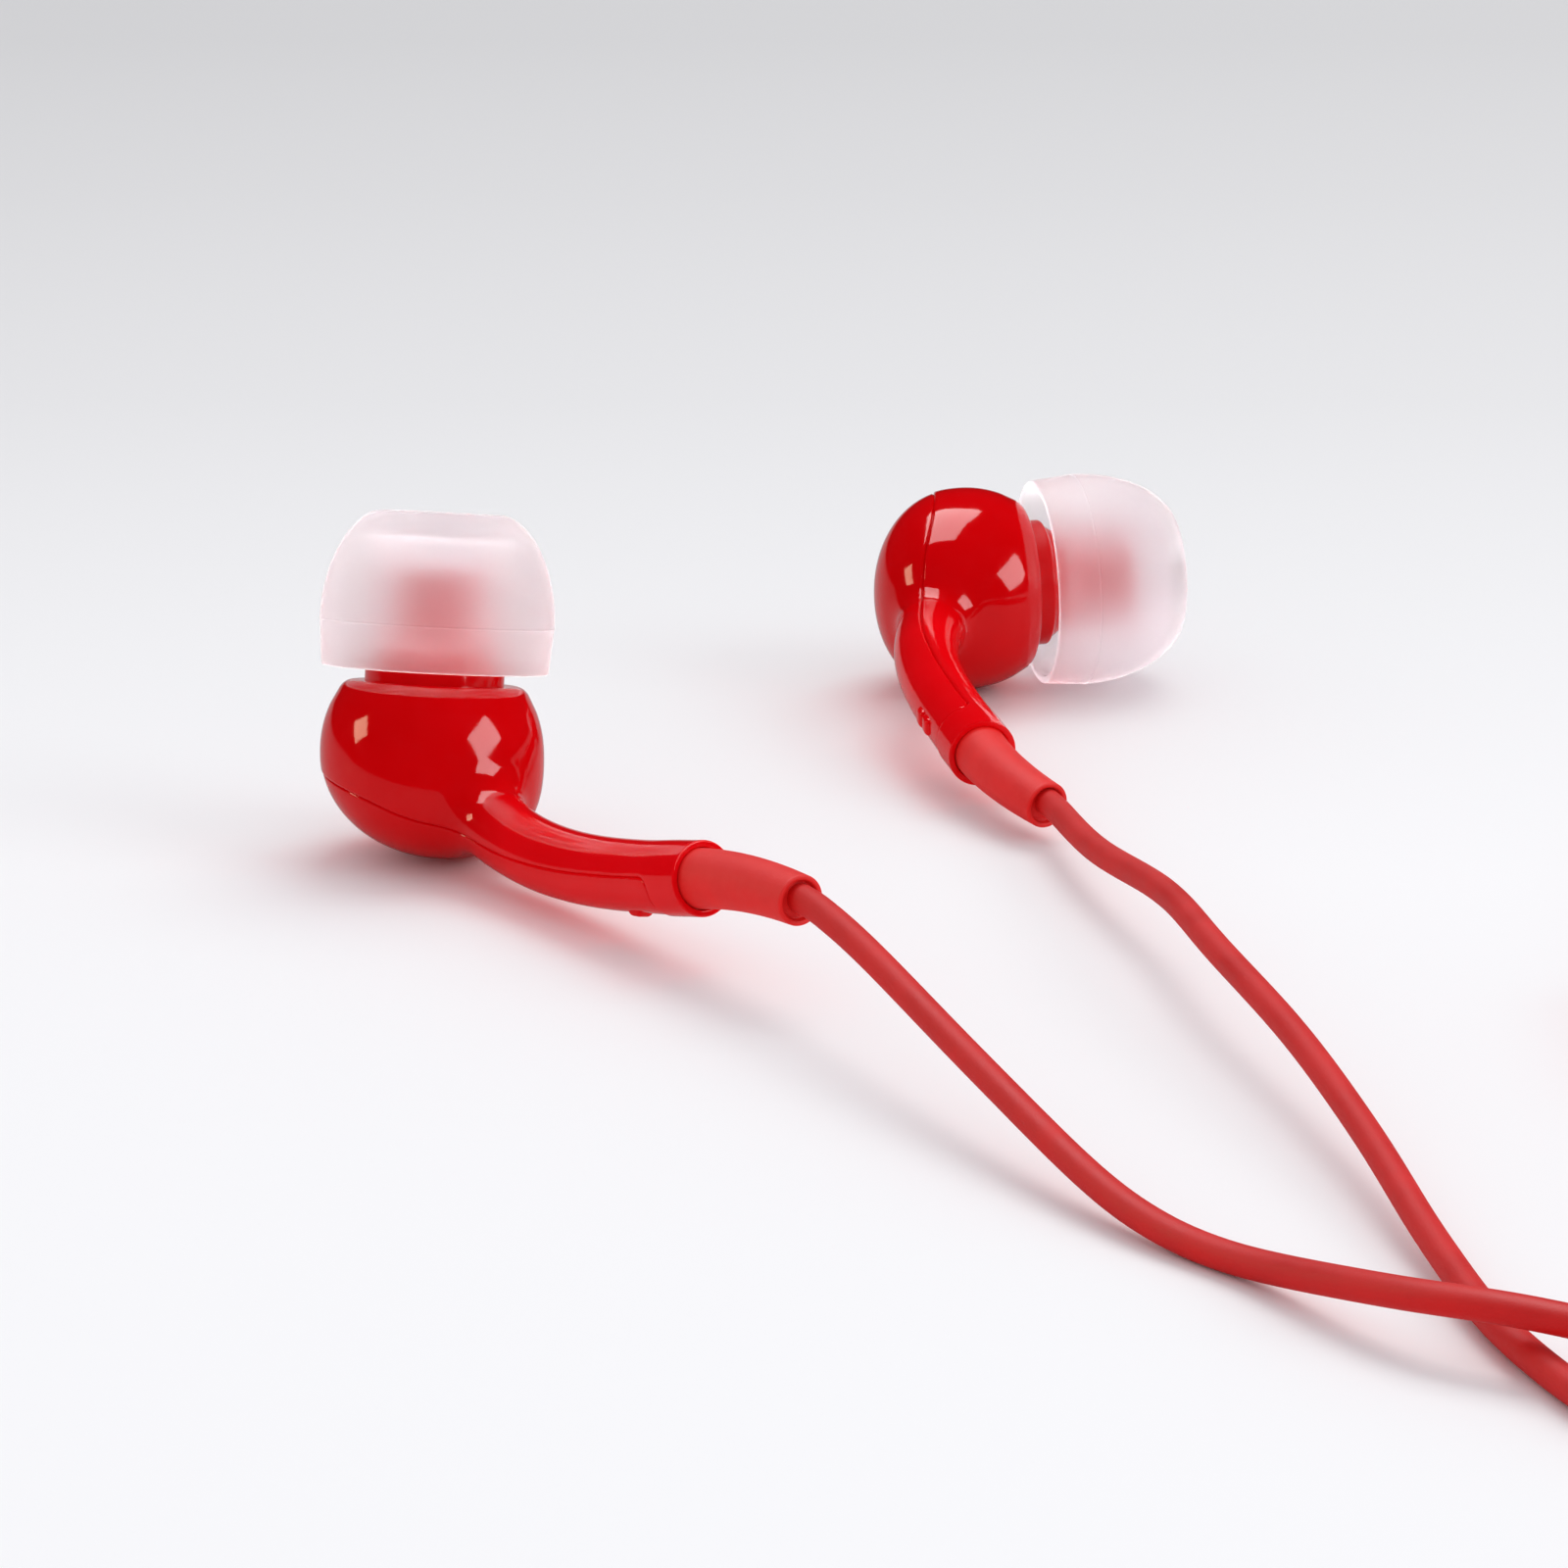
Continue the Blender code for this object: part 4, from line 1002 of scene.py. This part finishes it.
def make_screens():
    """Woven wire mesh in a thin rim."""
    half = SCREEN_RIM / 2
    edge = SCREEN_SEAT_RADIUS - SCREEN_RIM
    height = SCREEN_SEAT_Z + half + 0.085
    count = int(edge / MESH_PITCH)
    rim = [(edge - 0.06, height - half), (edge + half, height - half),
           (edge + half, height + half), (edge - 0.06, height + half)]
    for side in SIDES:
        parts = [lathe(side + "_screen", rounded(rim, 0.04, 3, closed=True), 64, closed=True)]
        parts += [mesh_wire(index, turn, edge, height)
                  for turn in (0, 1) for index in range(-count, count + 1)]
        finish_side(joined(parts), side, "steel", "nozzle_screen")


# ---- strain relief
def sleeve_line(side, count=40):
    """From the arm's mouth to the sleeve's end, in the earpiece's frame."""
    end = SLEEVE_END[side]
    reach = np.linalg.norm(end - ARM_END)
    bend = ARM_END + ARM_OUT * reach * SLEEVE_BEND
    return quadratic(ARM_END, bend, end, np.linspace(0.0, 1.0, count)[:, None])


def sleeve_profile(reach):
    """A tapering sleeve with a recess round the cable at its end."""
    outer = [(SLEEVE_ROOT_RADIUS + (SLEEVE_END_RADIUS - SLEEVE_ROOT_RADIUS) * s / reach, s)
             for s in np.linspace(0.0, reach, 24)]
    floor = reach - SLEEVE_RECESS
    ring = rounded((*outer[-2:], (SLEEVE_BORE_RADIUS + 0.03, reach, 0.13),
                    (SLEEVE_BORE_RADIUS, floor, 0.12), (SLEEVE_GRIP_RADIUS, floor, 0.05),
                    (SLEEVE_GRIP_RADIUS, reach - 0.9)), 0.17, 6)
    inner = [(SLEEVE_GRIP_RADIUS, s) for s in np.linspace(reach - 1.2, 0.0, 12)]
    return np.array([*outer[:-2], *ring, *inner])


def make_sleeves():
    for side in SIDES:
        path = Path([ARM_END - ARM_OUT * SLEEVE_ROOT_DEPTH, *sleeve_line(side)])
        sleeve = swept(side + "_sleeve", path, sleeve_profile(path.length), 64)
        finish_side(sleeve, side, "matte_red", "strain_relief", finish=SLEEVE_RED)


# ---- cables
def bend_points(start, end, start_radius, end_radius):
    """Points round one end of the coil, from start to end angle in quarter-turn units."""
    count = round(abs(end - start) * 0.5 * math.pi / BEND_STEP)
    centre_y = COIL_HIGH_Y if 0.0 <= start < 2.0 else COIL_LOW_Y
    points = []
    for step in range(count + 1):
        share = step / count
        angle = 0.5 * math.pi * (start + (end - start) * share)
        radius = start_radius + (end_radius - start_radius) * share
        points.append((COIL_X + radius * math.cos(angle), centre_y + radius * math.sin(angle)))
    return points


def coil_part_of_branch(radius):
    """Once round the coil and into the splitter."""
    lift = SLIDER_SIZE[2] / 2
    low = BRANCH_RADIUS + ABOVE_TABLE
    points = []
    for x, y in bend_points(-1.0, 0.0, radius, radius)[1:]:
        rise = max(0.0, (y - COIL_RISE_Y) / (COIL_LOW_Y - COIL_RISE_Y))
        points.append((x, y, low + (lift - low) * rise))
    for index, (x, y) in enumerate(bend_points(0.0, 2.0, radius, radius)):
        points.append((x, y, lift + (low - lift) * min(1.0, index / COIL_SINK_STEPS)))
    entry = SPLITTER_MIDDLE_Z
    for beyond, z in ((14.0, (low + entry) / 2), (10.0, entry), (4.0, entry)):
        points.append((COIL_X - radius, SPLITTER_Y + beyond, z))
    return points


def evened(points, spacing, window):
    """Resample a line evenly and average it over a short window to ease its corners."""
    path = Path(points)
    count = int(path.length / spacing)
    line = path.at(np.linspace(0.0, path.length, count + 1), path.points)
    half = int(window / spacing / 2)
    if half:
        padded = np.vstack([2 * line[0] - line[half:0:-1], line, 2 * line[-1] - line[-2:-half - 2:-1]])
        kernel = np.ones(2 * half + 1) / (2 * half + 1)
        line = np.stack([np.convolve(padded[:, axis], kernel, "valid") for axis in range(3)], 1)
    return line


def branch_line(side):
    """A branch from inside the arm, out of the sleeve, to the splitter, in layout millimetres."""
    place = PLACE[side]

    def laid_out(points):
        return [np.array(place @ (Vector(point) * MM)) / MM - LAYOUT_OFFSET for point in points]
    inside = laid_out(bezier(np.linspace(CABLE_START, 1.0, 8))[:-1])
    sleeve = laid_out(sleeve_line(side, 16))
    out = (sleeve[-1] - sleeve[-2]) / np.linalg.norm(sleeve[-1] - sleeve[-2])
    mouth = sleeve[-1]
    lean = np.array(CABLE_LEAN) - out * np.dot(CABLE_LEAN, out)
    sleeve = [point + lean * smooth_step(step / 10) for step, point in enumerate(sleeve)]
    run = LEFT_RUN if side == "left" else RIGHT_RUN
    radius = COIL_RADIUS + PAIR_SPACING / 2 * (-1 if side == "left" else 1)
    outside = [sleeve[-1], sleeve[-1] + out * FLEX_CLEARANCE, *run,
               (COIL_X, COIL_LOW_Y - radius, BRANCH_RADIUS + ABOVE_TABLE)]
    line = np.vstack([inside, sleeve[:-1], spline(outside, 10), coil_part_of_branch(radius)])
    return evened(line, BRANCH_STEP, CORNER_EASE), mouth


def jacket(distance, angles):
    """The jacket's section: slightly oval with one shallow groove, turning slowly as it goes."""
    turn = 0.9 + distance * 0.018 + 0.5 * np.sin(distance * 0.045)
    angle = angles[None, :] - turn[:, None]
    off_groove = (np.mod(angle + math.pi, math.tau) - math.pi) / JACKET_GROOVE_ANGLE
    return 1.0 + JACKET_OVAL * np.cos(2.0 * angle) - JACKET_GROOVE * np.exp(-off_groove ** 2)


def cable(name, path, start, end, radius, spacing):
    """A capped length of cable along a path."""
    stations = np.linspace(start, end, int((end - start) / spacing) + 1)
    profile = [(radius, s) for s in stations]
    obj = swept(name, path, profile, 28, closed=False, section=jacket)
    with edited(obj) as shape:
        bmesh.ops.holes_fill(shape, edges=[e for e in shape.edges if e.is_boundary])
        bmesh.ops.recalc_face_normals(shape, faces=shape.faces)
    return obj


def make_branches():
    for side in SIDES:
        line, mouth = branch_line(side)
        path = Path(line)
        at_mouth = path.distance[np.argmin(np.linalg.norm(path.points - mouth, axis=1))]
        split = at_mouth + FLEX_LENGTH
        near = cable(side + "_cable_at_sleeve", path, 0.0, split, BRANCH_RADIUS, 0.4)
        far = cable(side + "_cable", path, split, path.length, BRANCH_RADIUS, 0.5)
        finish_piece(near, "matte_red", SHIFT, side + "_cable_tail")
        finish_piece(far, "matte_red", SHIFT, side + "_branch_cable", "cable_set")
        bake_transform(near)


def main_line():
    """The main cable from the splitter, round the coil inwards and up to the plug."""
    low = MAIN_RADIUS + ABOVE_TABLE
    entry = SPLITTER_MIDDLE_Z
    points = [(SPLITTER_X, SPLITTER_Y - 4.0, entry), (SPLITTER_X, SPLITTER_Y - 11.0, entry),
              (SPLITTER_X + 0.5, SPLITTER_Y - 18.0, (entry + low) / 2)]
    radius = FIRST_MAIN_RADIUS
    flat = bend_points(-2.0, 0.0, COIL_RADIUS - PAIR_SPACING / 2, radius)
    flat += bend_points(0.0, 2.0, radius, radius - COIL_PITCH / 2)
    for _ in range(1, MAIN_TURNS):
        flat += bend_points(-2.0, 0.0, radius - COIL_PITCH / 2, radius - COIL_PITCH)
        radius -= COIL_PITCH
        flat += bend_points(0.0, 2.0, radius, radius - COIL_PITCH / 2)
    radius -= COIL_PITCH / 2
    points += [(x, y, low) for x, y in flat]
    half = radius / 2
    for step in range(1, LAST_BEND_STEPS + 1):
        share = step / LAST_BEND_STEPS
        angle = math.pi + math.pi * share
        points.append((COIL_X - radius + half * (1 + math.cos(angle)),
                       COIL_LOW_Y + half * math.sin(angle), low + (PLUG_HEIGHT - low) * share ** 2))
    points.append((COIL_X, PLUG_SHOULDER_Y - 22.0, PLUG_HEIGHT))
    points.append((COIL_X, PLUG_SHOULDER_Y - 8.0, PLUG_HEIGHT))
    return evened(points, MAIN_STEP, 3.0 * MAIN_STEP)


def make_main_cable():
    path = Path(main_line())
    obj = cable("main_cable_jacket", path, 0.0, path.length, MAIN_RADIUS, MAIN_STEP)
    finish_piece(obj, "matte_red", SHIFT, "main_cable", "cable_set")


# ---- slider and splitter
def drilled(obj, start, end, radius, segments):
    """Take a straight round rod between two points out of an object."""
    path = Path((start, (np.array(start) + end) / 2, end))
    profile = [(0.0, 0.0), (radius, 0.0), (radius, path.length), (0.0, path.length)]
    return carve(obj, swept("rod", path, profile, segments, closed=False), "DIFFERENCE")


def bored(obj, x, y_start, y_end, z, radius):
    """A round hole along Y."""
    return drilled(obj, (x, y_start, z), (x, y_end, z), radius, 48)


def bored_for_pair(obj, x, y_start, y_end, z, clearance):
    """Two holes side by side for the branch cables."""
    for side in (-1, 1):
        obj = bored(obj, x + side * PAIR_SPACING / 2, y_start, y_end, z, BRANCH_RADIUS + clearance)
    return obj


def grooved(obj, x, places, radius):
    """Shallow finger grooves across X, with their middles at the (y, z) places."""
    for y, z in places:
        obj = drilled(obj, (x - GROOVE_REACH, y, z), (x + GROOVE_REACH, y, z), radius, 32)
    return obj


def make_slider():
    height = SLIDER_SIZE[2] / 2
    obj = soft_block("slider_body", SLIDER_SIZE, (SLIDER_X, SLIDER_Y, height), SLIDER_ROUNDING, 8)
    obj = bored_for_pair(obj, SLIDER_X, SLIDER_Y - 6.0, SLIDER_Y + 6.0, height, HOLE_CLEARANCE)
    radius, lift, spacing = SLIDER_GROOVE
    places = [(SLIDER_Y + step * spacing, z) for z in (-lift, 2 * height + lift)
              for step in (-1, 0, 1)]
    obj = grooved(obj, SLIDER_X, places, radius)
    finish_piece(weld(obj), "gloss_red", SHIFT, "cable_slider", "slider", sharp_angle=28.0)


def splitter_blank():
    """A soft lozenge that narrows towards the single cable."""
    obj = soft_block("splitter", SPLITTER_SIZE, (SPLITTER_X, SPLITTER_Y, SPLITTER_MIDDLE_Z),
                     SPLITTER_ROUNDING, 10)
    points = vertices(obj)
    along = (points[:, 1] - SPLITTER_Y) / (SPLITTER_SIZE[1] / 2)
    narrow = 1.0 - SPLITTER_NARROWING * smooth_step((-along - 0.05) / 0.95)
    points[:, 0] = SPLITTER_X + (points[:, 0] - SPLITTER_X) * narrow
    set_vertices(obj, points)
    return obj


def splitter_half(whole, name, side):
    """The part of the splitter above or below the seam, with its edge rolled in."""
    centre = (SPLITTER_X, SPLITTER_Y, SPLITTER_MIDDLE_Z + side * (5.0 + SEAM_GAP / 2))
    region = soft_block("half", (12.0, 30.0, 10.0), centre, 0.001, 1)
    half = carve(copy_of(whole, name), region, "INTERSECT")
    points = vertices(half)
    off_seam = np.abs(points[:, 2] - SPLITTER_MIDDLE_Z)
    sideways = points[:, 0] - SPLITTER_X
    roll = SPLITTER_EDGE * np.clip(1.0 - off_seam / SPLITTER_EDGE_REACH, 0.0, 1.0) ** 2
    points[:, 0] -= np.sign(sideways) * roll * (np.abs(sideways) > 1.9)
    set_vertices(half, points)
    return weld(half)


def make_splitter():
    obj = splitter_blank()
    pair_end, cable_end = SPLITTER_FORK
    obj = bored_for_pair(obj, SPLITTER_X, SPLITTER_Y + pair_end, SPLITTER_Y + 12.0,
                         SPLITTER_MIDDLE_Z, SPLITTER_CLEARANCE)
    obj = bored(obj, SPLITTER_X, SPLITTER_Y - 12.0, SPLITTER_Y + cable_end, SPLITTER_MIDDLE_Z,
                MAIN_RADIUS + SPLITTER_CLEARANCE)
    radius, lift, spacing = SPLITTER_GROOVE
    places = [(SPLITTER_Y + SPLITTER_GROOVES_Y + step * spacing, z) for step in range(4)
              for z in (-lift, SPLITTER_SIZE[2] + lift)]
    obj = grooved(obj, SPLITTER_X, places, radius)
    for name, node, side in (("splitter_upper", "splitter_top", 1),
                             ("splitter_lower", "splitter_bottom", -1)):
        finish_piece(splitter_half(obj, name, side), "gloss_red", SHIFT, node, "cable_set",
                     sharp_angle=28.0)
    bpy.data.objects.remove(obj, do_unlink=True)


# ---- plug
def groove(radius, floor, z, width, slope, edges, corners):
    """The outline of one groove round the boot, from its front edge at z backwards."""
    return [(radius, z, edges), (floor, z - slope, corners), (floor, z - width + slope, corners),
            (radius, z - width, edges)]


def boot_profile():
    """Grip with finger rings, then a ribbed neck round the cable."""
    points = [(1.9, 0.0, 0.05), (2.75, 0.0, 0.2), (GRIP_RADIUS, -0.5, 0.2)]
    for z in GRIP_GROOVES_Z:
        points += groove(GRIP_RADIUS, 2.6, z, 0.65, 0.18, 0.1, 0.12)
    points += [(GRIP_RADIUS, -11.3, 0.5), (2.3, -12.7, 0.4), (NECK_RADIUS, -13.2, 0.25)]
    for index, z in enumerate(NECK_GROOVES_Z):
        points += groove(NECK_RADIUS - index * NECK_TAPER, 1.55, z, 0.54, 0.14, 0.08, 0.08)
    bore = MAIN_RADIUS + HOLE_CLEARANCE
    points += [(1.74, BOOT_END_Z, 0.15), (bore, BOOT_END_Z, 0.1), (bore, -6.0, 0.05),
               (1.2, -6.0, 0.05), (1.2, -2.5, 0.05), (1.9, -2.5, 0.05)]
    return rounded(points, 0.1, 4, closed=True)


def pin_ring(start, end, radius, edge):
    inner = PIN_CORE_RADIUS
    return rounded(((inner, start), (radius, start, edge), (radius, end, edge), (inner, end)),
                   0.03, 4, closed=True)


def insulator(behind):
    start = behind + PIN_GAP
    return pin_ring(start, start + INSULATOR_SPACE - 2 * PIN_GAP, INSULATOR_RADIUS, 0.02)


def pin_tip_profile():
    """The cone, waist and shoulder of the tip contact, and its stem inside the pin."""
    length = PLUG_PIN_LENGTH
    start = RING_Z[1] + INSULATOR_SPACE
    return rounded(((0.0, length), (0.62, length - 0.12, 0.2), (1.52, length - 1.75, 0.25),
                    (1.74, length - 2.3, 0.3), (1.25, length - 3.3, 0.35), (1.73, start, 0.1),
                    (0.65, start, 0.05), (0.65, -4.5, 0.05), (0.0, -4.5)), 0.1, 5)


def make_plug():
    middle = Vector((COIL_X, PLUG_SHOULDER_Y, PLUG_HEIGHT)) + Vector(LAYOUT_OFFSET)
    place = Matrix.Translation(middle * MM) @ Matrix.Rotation(math.radians(-90.0), 4, "X")
    ground_end, ring_end = RING_Z
    ring_start = ground_end + INSULATOR_SPACE
    pieces = (
        ("grip", boot_profile(), "gloss_red", "boot"),
        ("sleeve_ring", pin_ring(-2.2, ground_end, PIN_RADIUS, 0.06), "nickel", "ground_contact"),
        ("insulator_rear", insulator(ground_end), "black_plastic", "rear_insulator"),
        ("middle_ring", pin_ring(ring_start, ring_end, PIN_RADIUS, 0.06), "nickel", "ring_contact"),
        ("insulator_front", insulator(ring_end), "black_plastic", "front_insulator"),
        ("tip", pin_tip_profile(), "nickel", "tip_contact"),
    )
    for name, profile, slot_name, node in pieces:
        obj = lathe("plug_" + name, profile, 96, closed=name != "tip")
        finish_piece(obj, slot_name, place, "plug_" + node, "cable_set", sharp_angle=30.0)


# ---- stage
def make_camera():
    camera = add_object("camera", bpy.data.cameras.new("camera"))
    camera.data.sensor_width = 36.0
    camera.data.lens = CAMERA_LENS
    back = CAMERA_HEIGHT / math.tan(CAMERA_ELEVATION)
    camera.location = (np.array((0.0, -back, CAMERA_HEIGHT)) + LAYOUT_OFFSET) * MM
    camera.rotation_euler = (math.pi / 2 - CAMERA_ELEVATION, 0.0, 0.0)
    camera.data.clip_start = 0.01
    camera.data.clip_end = 20.0
    bpy.context.scene.camera = camera


def aimed_light(name, azimuth, elevation, size, power, colour=(1.0, 1.0, 1.0), roll=0.0):
    """A panel light that faces the part; azimuth runs from +Y towards +X, in degrees."""
    light = bpy.data.lights.new(name, "AREA")
    light.shape = "RECTANGLE"
    light.size, light.size_y = size
    light.energy = power
    light.color = colour
    obj = add_object(name, light)
    around, up = math.radians(azimuth), math.radians(elevation)
    way = Vector((math.sin(around) * math.cos(up), math.cos(around) * math.cos(up), math.sin(up)))
    obj.location = Vector(LAYOUT_OFFSET) * MM + Vector(LIGHT_TARGET) + way * LIGHT_DISTANCE
    turn = Matrix.Rotation(math.radians(roll), 4, "Z")
    obj.rotation_euler = ((-way).to_track_quat("-Z", "Y").to_matrix().to_4x4() @ turn).to_euler()
    return obj


def reflected_panel(name, size, radiance, **aim):
    """A panel that shows in glossy skins but doesn't light the scene."""
    power = radiance * math.pi * size[0] * size[1]
    panel = aimed_light(name, size=size, power=power, **aim)
    panel.visible_diffuse = False
    panel.visible_transmission = False


def make_lights():
    key = aimed_light("key", azimuth=26.0, elevation=58.0, size=(0.50, 0.42), power=2.35,
                      colour=(1.0, 0.99, 0.98))
    fill = aimed_light("fill", azimuth=113.0, elevation=30.0, size=(0.40, 0.30), power=1.0)
    for light in (key, fill):
        light.visible_glossy = False
        light.visible_transmission = False
    reflected_panel("top_panel", azimuth=-38.0, elevation=76.0, size=(0.66, 0.56), radiance=9.0,
                    roll=40.0)
    reflected_panel("side_panel", azimuth=115.0, elevation=22.0, size=(0.46, 0.34), radiance=9.0,
                    roll=18.0)
    reflected_panel("lamp", azimuth=-96.0, elevation=20.0, size=(0.22, 0.22), radiance=11.0,
                    colour=(1.0, 0.80, 0.55), roll=45.0)


def make_world():
    """An even sky that lights the scene but shows only darkly in glossy skins."""
    world = bpy.data.worlds.new("studio")
    bpy.context.scene.world = world
    world.use_nodes = True
    tree = world.node_tree
    background = tree.nodes["Background"]
    background.inputs["Color"].default_value = (0.955, 0.96, 1.0, 1.0)
    light_path = tree.nodes.new("ShaderNodeLightPath")
    span = tree.nodes.new("ShaderNodeMapRange")
    span.inputs["To Min"].default_value = WORLD_LIGHT
    span.inputs["To Max"].default_value = WORLD_IN_REFLECTIONS
    tree.links.new(light_path.outputs["Is Glossy Ray"], span.inputs["Value"])
    tree.links.new(span.outputs["Result"], background.inputs["Strength"])


def make_floor():
    """A pale table top with painted shade towards the back, and a painted reflection: dark red in
    glossy skins.
    """
    corners = [(x * FLOOR_REACH, y * FLOOR_REACH, 0.0)
               for x, y in ((-1, -1), (1, -1), (1, 1), (-1, 1))]
    floor = add_mesh("floor", corners, [(0, 1, 2, 3)])
    finish = Finish("table", own_frame=False)
    # painted shade: the floor darkens towards the back
    shade = finish.ramp(finish.span(finish.along("Y"), *FLOOR_DEPTH), FLOOR_PAINTED_SHADE)
    paper = finish.noise(0.25, 3.0)
    rays = finish.node("ShaderNodeLightPath").outputs
    # painted reflection: in glossy rays the floor shows a dark red instead of its own white
    painted_reflection_share = finish.maths("MULTIPLY", rays["Is Glossy Ray"], 0.55)
    shade = finish.mix(painted_reflection_share, shade, (0.12, 0.04, 0.04))
    finish.set(Base_Color=shade, Roughness=0.75, Specular_IOR_Level=0.2)
    finish.set(Normal=finish.bump(paper, 0.02, 0.3))
    floor.data.materials.append(finish.material)


def set_view():
    scene = bpy.context.scene
    scene.view_settings.view_transform = "Standard"
    scene.view_settings.look = "None"
    scene.cycles.use_denoising = True


dress_cad_nodes()
make_shells()
make_ear_tips()
make_screens()
make_sleeves()
make_branches()
make_main_cable()
make_slider()
make_splitter()
make_plug()
make_floor()
make_lights()
make_world()
make_camera()
set_view()
